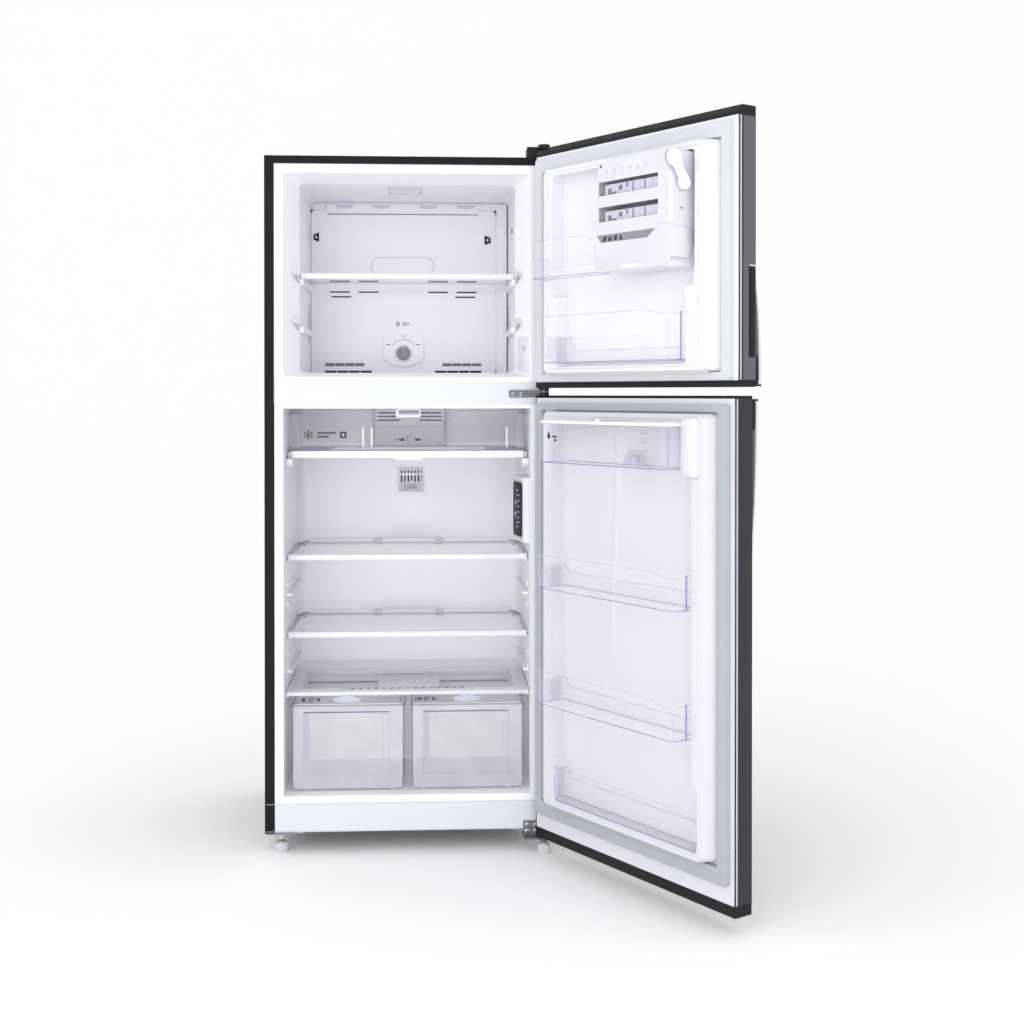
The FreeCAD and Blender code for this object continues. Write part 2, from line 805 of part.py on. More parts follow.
def chiller_tray():
    """White tray frame that carries the chiller drawer."""
    set_back = "shelf_set_back"
    front_bar = box(
        ("12 - fridge_half", out(f"{set_back} - 4"), 955), ("fridge_half - 12", out(f"{set_back} + 6"), 972)
    )
    floor = box(
        ("12 - fridge_half", out(f"{set_back} + 6"), 968), ("fridge_half - 12", out(396), 972)
    )
    sides = [
        box((left, out(f"{set_back} + 8"), 953.3), (right, out(396), 968.5))
        for left, right in (("2 - fridge_half", "18 - fridge_half"), ("fridge_half - 18", "fridge_half - 2"))
    ]
    window = box((-200, out(140), 960), (200, out(340), 975))
    keep(cut(fuse(front_bar, floor, *sides), window), "chiller_tray")


def chiller_drawer():
    """Clear chiller drawer under the ceiling of the fresh food space."""
    low = ("8 - fridge_half", out("shelf_set_back"), "chiller_low")
    high = ("fridge_half - 8", out(392), "chiller_high")
    bowl = tub(low, high, 14)
    notch = rounded(
        box((-120, out("shelf_set_back - 5"), "chiller_high - 16"), (120, out("shelf_set_back + 8"), "chiller_high + 5")),
        8,
        lambda edge: fore_and_aft(edge) and edge.BoundBox.ZMin < size("chiller_high") - 10,
    )
    keep(cut(bowl, notch), "chiller_drawer")


def air_duct():
    """Air outlet box high on the back wall, with a slot for the damper slider."""
    back = out("fridge_depth")
    face = out("fridge_depth - 40")
    outer = rounded(box((-98, face, 968), (98, back, 1076)), 8, lambda e: upright(e) and e.BoundBox.YMin < 150)
    inner = box((-95.5, f"{face} + 2.5", 970.5), (95.5, f"{back} + 1", 1073.5))
    slider_slot = box((-30, f"{face} - 1", 986), (30, f"{face} + 4", 992))
    vents = [
        box((left, f"{face} - 1", 1040 + 10 * row), (left + 58, f"{face} + 4", 1044 + 10 * row))
        for left in (-86, 28)
        for row in range(3)
    ]
    keep(cut(outer, inner, slider_slot, *vents), "air_duct")


def damper_slider():
    """Finger slide that sets the damper."""
    face = out("fridge_depth - 40")
    thumb = box((-14, f"{face} - 6.5", 981), (14, f"{face} - 0.5", 997))
    stem = box((-6, f"{face} - 1", 986.5), (6, f"{face} + 6", 991.5))
    keep(fuse(thumb, stem), "damper_slider")


def control_box():
    """Housing on the right wall whose slanted face carries the control panel."""
    body = new_body("ControlBox")
    sketch = new_sketch(body, "XY_Plane", "746")
    wall_x = size("fridge_half")
    front = size("front")
    points = [(wall_x, front + 34), (286, front + 44), (266, front + 168), (wall_x, front + 188)]
    first = closed_loop(sketch, points)
    for line in range(4):
        sketch.addConstraint(Sketcher.Constraint("Block", first + line))
    pad(body, sketch, 160)
    keep(body, "control_box")


def crisper_cover():
    """White frame over the crispers with a glass rebate and a row of air slots."""
    half = "fridge_half - 2"
    frame = rounded(
        box((f"-({half})", out(42), "cover_top - 8"), (half, out("hump_depth - 3"), "cover_top")), 18,
        lambda edge: upright(edge) and edge.BoundBox.YMin > 0,
    )
    lip = box((f"-({half})", out(42), "cover_top - 9"), (half, out(46), "cover_top"))
    window = box((-258, out(92), "cover_top - 20"), (258, out("hump_depth - 36"), "cover_top + 5"))
    rebate = box((-266, out(84), "cover_top - 4.5"), (266, out("hump_depth - 28"), "cover_top + 5"))
    slots = [
        box((-166 + 23 * i, out(58), "cover_top - 20"), (-156 + 23 * i, out(66), "cover_top + 5"))
        for i in range(15)
    ]
    keep(cut(fuse(frame, lip), window, rebate, *slots), "crisper_cover")


def crisper_glass():
    """Glass pane in the crisper cover."""
    pane = box((-265, out(85), "cover_top - 4.5"), (265, out("hump_depth - 29"), "cover_top - 0.5"))
    keep(pane, "crisper_glass")


def crisper(label, left, right):
    """Clear vegetable drawer with a grip lip on its front edge."""
    bowl = tub((left, out(46), "crisper_low"), (right, out("hump_depth - 6"), "crisper_high"), 14)
    middle = f"(({left}) + ({right})) / 2"
    grip = box(
        (f"{middle} - 34", out(40), "crisper_high - 14"), (f"{middle} + 34", out(46.5), "crisper_high")
    )
    keep(fuse(bowl, grip), label)


# ---------------------------------------------------------------- doors
def bowed_slab(label, low, high, inset):
    """Body with the door's plan: flat inside, straight edges and a gently bowed front."""
    body = new_body(label + "Slab")
    sketch = new_sketch(body, "XY_Plane", low)
    half = size("half_width") - inset
    inner = size("front") - size("door_gap")
    outer = size("front") - size("door_edge") + inset
    crown = outer - size("door_bow")
    corners = [Vector(half, outer, 0), Vector(half, inner, 0), Vector(-half, inner, 0), Vector(-half, outer, 0)]
    for start, end in zip(corners, corners[1:]):
        sketch.addGeometry(Part.LineSegment(start, end), False)
    sketch.addGeometry(Part.Arc(corners[3], Vector(0, crown, 0), corners[0]), False)
    for line in (0, 1):
        sketch.addConstraint(Sketcher.Constraint("Coincident", line, 2, line + 1, 1))
    sketch.addConstraint(Sketcher.Constraint("Coincident", 2, 2, 3, 1))
    sketch.addConstraint(Sketcher.Constraint("Coincident", 3, 2, 0, 1))
    sketch.addConstraint(Sketcher.Constraint("Horizontal", 1))
    for line in (0, 2):
        sketch.addConstraint(Sketcher.Constraint("Vertical", line))
    sketch.addConstraint(Sketcher.Constraint("Symmetric", 0, 1, 2, 2, -2))
    across = Sketcher.Constraint("DistanceX", 1, 2, 1, 1, 2 * half)
    drive(sketch, "across", across, f"2 * (half_width - {inset})")
    thick = Sketcher.Constraint("DistanceY", 0, 1, 0, 2, inner - outer)
    drive(sketch, "thick", thick, f"door_edge - door_gap - {inset}")
    below = Sketcher.Constraint("DistanceY", 1, 1, -1, 1, -inner)
    drive(sketch, "below", below, "door_gap - front")
    radius = f"((half_width - {inset}) ^ 2 + door_bow ^ 2) / (2 * door_bow)"
    drive(sketch, "bow", Sketcher.Constraint("Radius", 3, (half**2 + 169) / 26), radius)
    pad(body, sketch, f"({high}) - ({low})")
    return body


def door_skin(label, swing, low, high, opening=None):
    """Painted steel front, wrapped round both side edges of a door."""
    outer = bowed_slab("Outer", low, high, 0)
    inner = bowed_slab("Inner", f"{low} - 1", f"{high} + 1", size("skin"))
    mouth = box(
        ("skin - half_width", out("-door_gap - 2"), 0), ("half_width - skin", out("0"), 2000)
    )
    tools = [inner, mouth] + ([opening] if opening else [])
    keep(cut(outer, *tools), label, swing)


def pin_bore(low, high):
    """Running hole on the hinge line."""
    return cylinder(
        ("pin_across", "front - pin_set_out", low), "pin + pin_play", f"({high}) - ({low})"
    )


def cap_slope(high, fall):
    """Tool that slopes the inner top edge of a cap."""
    item = doc.addObject("Part::Wedge", "Slope")
    bind(item, Xmin="-half_width - 1", Xmax="half_width + 1", X2min="-half_width - 1")
    bind(item, X2max="half_width + 1", Ymin=out(-22), Ymax=out(-13), Zmin=f"{high} - 0.01")
    return bind(item, Zmax=f"{high} + 3", Z2min=f"{high} - {fall}", Z2max=f"{high} + 3")


def door_caps(label, swing, low, panel_low, panel_high, high, fall):
    """Moulded black end caps of a door, each with a bore for a hinge pin."""
    caps = []
    for start, end, plug_start, plug_end in (
        (low, panel_low, f"{panel_low} - 1", f"{panel_low} + 16"),
        (panel_high, high, f"{panel_high} - 16", f"{panel_high} + 1"),
    ):
        plug = box(
            ("pin_across - 12", out("-door_edge + 3"), plug_start),
            ("half_width - 2", out("-door_gap - 3"), plug_end),
        )
        caps.append(fuse(bowed_slab("Cap", start, end, 0), plug))
    lower = cut(caps[0], pin_bore(f"{low} - 1", f"{low} + 30"))
    upper = cut(caps[1], pin_bore(f"{high} - 30", f"{high} + 1"), cap_slope(high, fall))
    keep(group(lower, upper), label, swing)


def door_liner(label, swing, low, high, dike_low, dike_high, pockets):
    """Inner panel: flange plate, raised dike and sunken bin pockets; returns its outer solid."""
    face = out("-door_gap")
    plate = box(
        ("3 - half_width", f"{face} - liner", low), ("half_width - 3", face, high)
    )
    dike = wedge(
        ("dike_left - 14", face, f"{dike_low} - 3"),
        ("dike_right + 14", face, f"{dike_high} + 3"),
        ("dike_left", out("dike_proud"), dike_low),
        ("dike_right", out("dike_proud"), dike_high),
    )
    dike = rounded(dike, 16, lambda edge: edge.BoundBox.YLength > 20)
    core = wedge(
        ("dike_left - 13", f"{face} - liner - 1", f"{dike_low} - 1"),
        ("dike_right + 13", f"{face} - liner - 1", f"{dike_high} + 1"),
        ("dike_left + liner", out("dike_proud - liner"), f"{dike_low} + liner"),
        ("dike_right - liner", out("dike_proud - liner"), f"{dike_high} - liner"),
    )
    core = rounded(core, 15, lambda edge: edge.BoundBox.YLength > 20)
    floor = out("-pocket_floor")
    walls = [
        box(
            (f"{left} - liner", f"{floor} - liner", f"{bottom} - liner"),
            (f"{right} + liner", out("dike_proud - 0.5"), f"{top} + liner"),
        )
        for left, right, bottom, top in pockets
    ]
    hollows = [
        rounded(box((left, floor, bottom), (right, out("dike_proud + 1"), top)), 10, fore_and_aft)
        for left, right, bottom, top in pockets
    ]
    shell = cut(fuse(plate, dike), core)
    panel = cut(fuse(shell, *walls), *hollows)
    keep(panel, label, swing)
    return fuse(plate, dike), fuse(*walls)


def door_foam(label, swing, low, high, liner_solids):
    """Insulation between a door's skin and its inner panel."""
    block = bowed_slab("Filling", f"{low} + 17", f"{high} - 17", size("skin"))
    behind = box(
        ("-half_width", out("-door_gap - liner"), 0), ("half_width", out(0), 2000)
    )
    keep(cut(block, behind, *liner_solids), label, swing)


def gasket(label, swing, low, inner_low, inner_high, high):
    """Magnetic seal frame on the flange of a door's inner panel."""
    face = out("-door_gap")
    outer = box(("-gasket_half", face, low), ("gasket_half", f"{face} + 13", high))
    inner = box(
        ("gasket_width - gasket_half", f"{face} - 1", inner_low),
        ("gasket_half - gasket_width", f"{face} + 14", inner_high),
    )
    keep(cut(rounded(outer, 6, fore_and_aft), inner), label, swing)


def handle(label, swing, tip, root, flip):
    """Bowed pull strip at the free edge, standing off most beside the gap between the doors."""
    body = new_body("Pull")
    sketch = new_sketch(body, "YZ_Plane", "4 - half_width")
    face = size("front") - size("door_edge") - 0.5
    stand = face - 20
    middle = (tip + root) / 2
    outer = Part.Arc(Vector(stand, tip, 0), Vector(stand + 4, middle, 0), Vector(face - 2, root, 0))
    inner = Part.Arc(Vector(face, root, 0), Vector(stand + 9, middle, 0), Vector(stand + 6, tip + flip, 0))
    numbers = [sketch.addGeometry(outer, False)]
    numbers.append(sketch.addGeometry(Part.LineSegment(Vector(face - 2, root, 0), Vector(face, root, 0)), False))
    numbers.append(sketch.addGeometry(inner, False))
    corner = Vector(face + 1, tip + flip, 0)
    numbers.append(sketch.addGeometry(Part.LineSegment(Vector(stand + 6, tip + flip, 0), corner), False))
    numbers.append(sketch.addGeometry(Part.LineSegment(corner, Vector(face + 1, tip, 0)), False))
    numbers.append(sketch.addGeometry(Part.LineSegment(Vector(face + 1, tip, 0), Vector(stand, tip, 0)), False))
    for number in numbers:
        sketch.addConstraint(Sketcher.Constraint("Block", number))
    pad(body, sketch, 26)
    door_surface = bowed_slab("Surface", "fridge_door_low", "freezer_door_high", 0)
    keep(cut(body, door_surface), label, swing)


FREEZER_POCKETS = (
    ("pocket_left", "pocket_right", 1340, 1624),
    ("pocket_left + 27", "pocket_right - 18", 1176, 1360),
)
FRIDGE_POCKETS = (
    ("pocket_left", "pocket_right", 262, 1052),
    ("pocket_left - 18", "pocket_right - 10", 160, 300),
)


def doors():
    """Both doors with their skins, caps, inner panels, foam, seals and handles."""
    freezer = ("freezer_swing", "freezer_panel_low", "freezer_panel_high")
    fridge = ("fridge_swing", "fridge_panel_low", "fridge_panel_high")
    door_skin("freezer_door_skin", *freezer)
    door_skin("fridge_door_skin", *fridge, opening=dispenser_cutout())
    door_caps("freezer_door_caps", "freezer_swing", "freezer_door_low", *freezer[1:], "freezer_door_high", 14)
    door_caps("fridge_door_caps", "fridge_swing", "fridge_door_low", *fridge[1:], "fridge_door_high", 3)
    upper = door_liner("freezer_door_liner", *freezer, 1163, 1640, FREEZER_POCKETS)
    lower = door_liner("fridge_door_liner", *fridge, 145, 1071, FRIDGE_POCKETS)
    door_foam("freezer_door_foam", *freezer, upper)
    door_foam("fridge_door_foam", *fridge, lower + (dispenser_cutout(2),))
    gasket("freezer_door_gasket", "freezer_swing", 1144, 1159, 1644, 1676)
    gasket("fridge_door_gasket", "fridge_swing", 102, 137, 1076, 1092)
    handle("freezer_handle", "freezer_swing", 1132, 1378, 10)
    handle("fridge_handle", "fridge_swing", 1104, 762, -10)


def dispenser_cutout(grow=0):
    """Opening in the fridge door front for the water dispenser."""
    return box(
        (f"-95 - {grow}", out("-door_edge - door_bow - 5"), f"770 - {grow}"),
        (f"75 + {grow}", out("-32 + " + str(grow)), f"1010 + {grow}"),
    )


def dispenser_housing():
    """Recess in the door front where a glass is filled, with a drip shelf."""
    rim_block = box((-103, out("-door_edge - door_bow - 2"), 762), (83, out("-door_edge - 5"), 1018))
    rim = cut(rim_block, bowed_slab("Surface", 700, 1060, 0))
    block = box((-94.5, out("-door_edge - door_bow"), 770.5), (74.5, out("-32.5"), 1009.5))
    hollow = rounded(
        box((-86, out("-door_edge - door_bow - 5"), 782), (66, out("-36"), 960)), 18, fore_and_aft
    )
    ears = [box((start, out(-58), 936), (start + 5, out(-35), 962)) for start in (-40, 15)]
    spout_way = cylinder((-10, out(-64), 955), 6, 60)
    hub_way = cylinder((-38.5, out(-50), 946), "3 + pin_play", 57, "x")
    recess = cut(fuse(rim, block), hollow)
    keep(cut(fuse(recess, *ears), spout_way, hub_way), "dispenser_housing", "fridge_swing")


def dispenser_lever():
    """Paddle that opens the tap when a glass is pushed against it."""
    paddle = rounded(
        box((-32, out(-52), 858), (12, out(-48), 946)), 10,
        lambda edge: fore_and_aft(edge) and edge.BoundBox.ZMax < 900,
    )
    hub = cylinder((-38, out(-50), 946), 3, 56, "x")
    keep(fuse(paddle, hub), "dispenser_lever", "fridge_swing")


def water_tank():
    """Clear water tank in the top of the fridge door."""
    low = (-236, out("2 - pocket_floor"), 955)
    high = (214, out("bin_proud"), 1046)
    keep(tub(low, high, 12), "water_tank", "fridge_swing")


def tank_lid():
    """White bowed lid of the water tank with a fill tab."""
    plate = box((-238, out("2 - pocket_floor"), 1046.2), (216, out("bin_proud"), 1051))
    tab = cylinder((-18, out(52), 1050), 9, 6)
    keep(fuse(plate, tab), "tank_lid", "fridge_swing")


def door_bin(left, right, low, high, start, proud):
    """Clear bin with a lowered back edge and chamfered front corners."""
    bowl = tub((left, out(start), low), (right, out(proud), high), 10)
    back = box(
        (f"{left} + 20", out(f"({start}) - 1"), f"{low} + 40"), (f"{right} - 20", out(f"({start}) + 8"), f"{high} + 5")
    )
    return cut(bowl, back)


def door_bins():
    """Clear bins of both doors."""
    rear = "1 - pocket_floor"
    small = door_bin("8", "256", 1380, 1468, "dike_proud", "bin_proud")
    keep(small, "freezer_small_bin", "freezer_swing")
    large = door_bin("pocket_left + 29", "pocket_right - 20", 1184, 1292, rear, "bin_proud")
    keep(large, "freezer_large_bin", "freezer_swing")
    pair = [
        door_bin("pocket_left + 2", "pocket_right - 2", low, low + 80, rear, "bin_proud")
        for low in (662, 393)
    ]
    keep(group(*pair), "door_bins", "fridge_swing")
    bottom = door_bin("pocket_left - 16", "pocket_right - 12", 165, 243, rear, 34)
    keep(bottom, "bottom_bin", "fridge_swing")


def ice_maker():
    """Twist-tray ice maker: housing, two trays, lever and pull-out ice bin."""
    left, right = -238, 4
    front_face = out("bin_proud + 3")
    rear_face = out("1 - pocket_floor")
    outer = rounded(box((left, rear_face, 1440), (right, front_face, 1620)), 8, upright)
    hollow = box((left + 3, f"{rear_face} + 3", 1430), (right - 3, f"{front_face} - 3", 1617))
    windows = [
        box((-200, f"{front_face} - 5", low), (right - 8, f"{front_face} + 1", high))
        for low, high in ((1546, 1576), (1489, 1521))
    ]
    bores = [
        cylinder((left - 1, out(46), 1558), "5 + pin_play", 6, "x"),
        cylinder((left - 1, out(46), 1500), "3 + pin_play", 6, "x"),
        cylinder((right - 5, out(46), 1558), "3 + pin_play", 6, "x"),
        cylinder((right - 5, out(46), 1500), "3 + pin_play", 6, "x"),
    ]
    side_rails = []
    for web, foot_low, foot_high in ((left, left, left + 7), (right - 2, right - 7, right)):
        side_rails.append(box((web, out(8), 1420), (web + 2, out(70), 1441)))
        side_rails.append(box((foot_low, out(8), 1420), (foot_high, out(70), 1426.5)))
    housing = fuse(cut(outer, hollow, *windows, *bores), *side_rails)
    keep(housing, "ice_maker_housing", "freezer_swing")
    for label, height, reach in (("ice_tray_upper", 1558, 8), ("ice_tray_lower", 1500, 0.5)):
        tray = box((left + 14, out(25), height - 12), (right - 14, out(67), height + 12))
        cups = [
            box((left + 17 + 26.2 * i, out(start), height - 9), (left + 40 + 26.2 * i, out(start + 17), height + 13))
            for i in range(8)
            for start in (27.5, 47.5)
        ]
        near_end = cylinder((left + reach, out(46), height), 3, 15 - reach, "x")
        far_end = cylinder((right - 15, out(46), height), 3, 14, "x")
        keep(fuse(cut(tray, *cups), near_end, far_end), label, "freezer_swing")
    plate_x = left - 8
    hub = cylinder((plate_x, out(46), 1558), 5, 16, "x")
    tail = cylinder((plate_x, out(46), 1552), 15, 4.5, "x")
    thumb = cylinder((plate_x, out(74), 1602), 18, 4.5, "x")
    arm = box((plate_x, out(34), 1560), (plate_x + 4.5, out(57), 1606))
    turn = Placement(Vector(), Rotation(Vector(1, 0, 0), -30), Vector(plate_x, size("front") + 46, 1558))
    lever = fuse(hub, tail, thumb, turned(arm, turn))
    keep(lever, "ice_lever", "freezer_swing")
    bowl = tub((left + 8, f"{rear_face} + 2", 1380), (right - 8, front_face, 1431), 10)
    lips = [
        box((start, out(10), 1427), (start + 6.5, out(72), 1431)) for start in (left + 2.5, right - 9)
    ]
    keep(fuse(bowl, *lips), "ice_bin", "freezer_swing")


# ---------------------------------------------------------------- assembly
cabinet_shell()
rear_panel()
rear_cover()
cord_inlet()
FREEZER_OUTER = freezer_liner()
FRIDGE_OUTER = fridge_liner()
RAIL = center_rail()
cabinet_foam(FREEZER_OUTER, FRIDGE_OUTER, RAIL)
base_panel()
base_frame()
foot("left_foot", "left_foot_across", out(20), "bottom + 16")
foot("right_foot", "pin_across", "front - pin_set_out", "bottom - 11")
rear_rollers()
compressor()
top_hinge()
top_hinge_cover()
middle_hinge()
bottom_hinge()
hinge_screws()
evaporator_cover()
temperature_knob()
evaporator_coil()
fan_motor()
fan_blade()
shelf_trims(glass_shelves())
chiller_tray()
chiller_drawer()
air_duct()
damper_slider()
control_box()
crisper_cover()
crisper_glass()
crisper("crisper_left", "14 - fridge_half", "-8")
crisper("crisper_right", "8", "fridge_half - 14")
doors()
dispenser_housing()
dispenser_lever()
water_tank()
tank_lid()
door_bins()
ice_maker()

doc.recompute()

for item in doc.Objects:
    if "Invalid" in item.State or "Error" in item.State:
        raise RuntimeError(f"{item.Name} ({item.Label}) failed: {item.State}")

os.makedirs("parts", exist_ok=True)
for item in KEPT:
    if item.Shape.isNull() or not item.Shape.isValid() or not item.Shape.Solids:
        raise RuntimeError(f"{item.Label} has no valid shape")
    item.Shape.exportStep(f"parts/{item.Label}.step")
print(len(KEPT), "sub-parts written")
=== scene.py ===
"""Looks of the top freezer refrigerator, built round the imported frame.  Metres, +Z up, +Y back."""

import json
import math

import bmesh
import bpy
from mathutils import Matrix, Vector


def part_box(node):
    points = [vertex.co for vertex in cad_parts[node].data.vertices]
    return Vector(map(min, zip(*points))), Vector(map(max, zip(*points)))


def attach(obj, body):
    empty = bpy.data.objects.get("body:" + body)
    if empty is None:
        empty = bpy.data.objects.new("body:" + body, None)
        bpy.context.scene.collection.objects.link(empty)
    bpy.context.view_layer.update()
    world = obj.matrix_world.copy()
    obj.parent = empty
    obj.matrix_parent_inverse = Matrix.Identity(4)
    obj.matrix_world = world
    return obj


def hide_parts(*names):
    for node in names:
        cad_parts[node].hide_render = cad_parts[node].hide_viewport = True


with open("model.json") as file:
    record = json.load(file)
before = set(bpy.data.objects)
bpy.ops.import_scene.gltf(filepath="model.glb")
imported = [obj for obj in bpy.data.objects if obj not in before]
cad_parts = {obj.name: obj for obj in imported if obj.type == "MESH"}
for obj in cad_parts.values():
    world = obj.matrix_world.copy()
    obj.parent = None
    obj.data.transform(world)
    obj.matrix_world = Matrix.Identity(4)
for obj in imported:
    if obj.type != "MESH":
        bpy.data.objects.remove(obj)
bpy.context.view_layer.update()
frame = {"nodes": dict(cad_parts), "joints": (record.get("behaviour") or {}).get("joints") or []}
NODES = frame["nodes"]
MM = 0.001

# ---------------------------------------------------------------- hinge line and door frames
JOINTS = {joint["name"]: joint for joint in frame["joints"]}
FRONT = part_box("cabinet_shell")[0].y / MM


def door_turn(joint_name):
    """Matrix that carries closed-door coordinates to the resting open door."""
    joint = JOINTS[joint_name]
    pivot = Vector(joint["pos_m"])
    pivot.z = 0
    swing = -math.radians(joint["range_deg"][0])
    return Matrix.Translation(pivot) @ Matrix.Rotation(swing, 4, "Z") @ Matrix.Translation(-pivot)


TURN = {
    "cabinet": Matrix.Identity(4),
    "freezer": door_turn("freezer_door_hinge"),
    "fridge": door_turn("fridge_door_hinge"),
}


# ---------------------------------------------------------------- materials
class Shader:
    """Small builder for node materials."""

    def __init__(self, name):
        self.material = bpy.data.materials.new(name)
        self.material.use_nodes = True
        self.tree = self.material.node_tree
        self.tree.nodes.clear()
        output = self.add("ShaderNodeOutputMaterial")
        self.bsdf = self.add("ShaderNodeBsdfPrincipled")
        self.link(self.bsdf, "BSDF", output, "Surface")

    def add(self, kind):
        """New node."""
        return self.tree.nodes.new(kind)

    def link(self, a, out, b, socket):
        """Join two sockets."""
        self.tree.links.new(a.outputs[out], b.inputs[socket])

    def set(self, **values):
        """Constants on the surface shader's sockets; underscores stand for spaces."""
        for key, value in values.items():
            self.bsdf.inputs[key.replace("_", " ")].default_value = value
        return self

    def noise(self, size, detail, rough, stretch=(1, 1, 1)):
        """Noise in stretched object coordinates, with features of about that size in metres."""
        node = self.add("ShaderNodeTexNoise")
        for key, value in (("Scale", 1 / size), ("Detail", detail), ("Roughness", rough)):
            node.inputs[key].default_value = value
        place = self.add("ShaderNodeTexCoord")
        scale = self.add("ShaderNodeMapping")
        scale.inputs["Scale"].default_value = stretch
        self.link(place, "Object", scale, "Vector")
        self.link(scale, "Vector", node, "Vector")
        return node

    def tone(self, source, color, low, high, start):
        """Base colour that drifts with the source between two shares of a colour."""
        node = self.add("ShaderNodeValToRGB")
        places = (start, low), (1 - start, high)
        for element, (place, share) in zip(node.color_ramp.elements, places):
            element.position = place
            element.color = (*[min(1, c * share) for c in color[:3]], 1)
        self.link(source, "Fac", node, "Fac")
        self.link(node, "Color", self.bsdf, "Base Color")

    def range(self, source, socket, low, high, target):
        """Map a 0..1 value to low..high on a socket of the surface shader."""
        node = self.add("ShaderNodeMapRange")
        node.inputs["To Min"].default_value = low
        node.inputs["To Max"].default_value = high
        self.link(source, socket, node, "Value")
        self.link(node, "Result", self.bsdf, target)

    def bump(self, source, distance, strength):
        """Relief from a noise."""
        node = self.add("ShaderNodeBump")
        node.inputs["Distance"].default_value = distance
        node.inputs["Strength"].default_value = strength
        self.link(source, "Fac", node, "Height")
        self.link(node, "Normal", self.bsdf, "Normal")


def rgb(red, green, blue):
    """Linear colour from 0..255 display values."""
    return (*[((c / 255 + 0.055) / 1.055) ** 2.4 for c in (red, green, blue)], 1.0)


def painted(name, color, spread, roughness, peel=0.00004, peel_size=0.0012, level=0.5):
    """Sprayed paint or gloss moulding: faint tone drift, orange peel and fine dust in the gloss."""
    shader = Shader(name).set(Specular_IOR_Level=level)
    shader.tone(shader.noise(0.22, 4, 0.6), color, 1 - spread, 1 + spread * 0.5, 0.25)
    shader.range(shader.noise(0.05, 5, 0.65), "Fac", roughness * 0.85, roughness * 1.2, "Roughness")
    shader.bump(shader.noise(peel_size, 2, 0.4), peel, 0.5)
    return shader


def brushed(name, color, spread, roughness, stretch, metallic=1.0):
    """Metal with fine brushing along one axis."""
    shader = Shader(name).set(Metallic=metallic)
    lines = shader.noise(0.0012, 4, 0.6, stretch)
    shader.tone(lines, color, 1 - spread, 1 + spread, 0.3)
    shader.range(lines, "Fac", roughness * 0.8, roughness * 1.3, "Roughness")
    shader.bump(lines, 0.00003, 0.6)
    return shader


def clear(name, color, low, high, roughness=0.08):
    """Thin clear moulding: mostly see-through, denser where it is seen edge on."""
    shader = Shader(name).set(IOR=1.45)
    shader.tone(shader.noise(0.06, 3, 0.5), color, 0.9, 1, 0.3)
    edge = shader.add("ShaderNodeLayerWeight")
    edge.inputs["Blend"].default_value = 0.35
    shader.range(edge, "Facing", low, high, "Alpha")
    shader.range(shader.noise(0.02, 4, 0.6), "Fac", roughness * 0.7, roughness * 1.5, "Roughness")
    shader.bump(shader.noise(0.03, 2, 0.5), 0.0002, 0.3)
    return shader


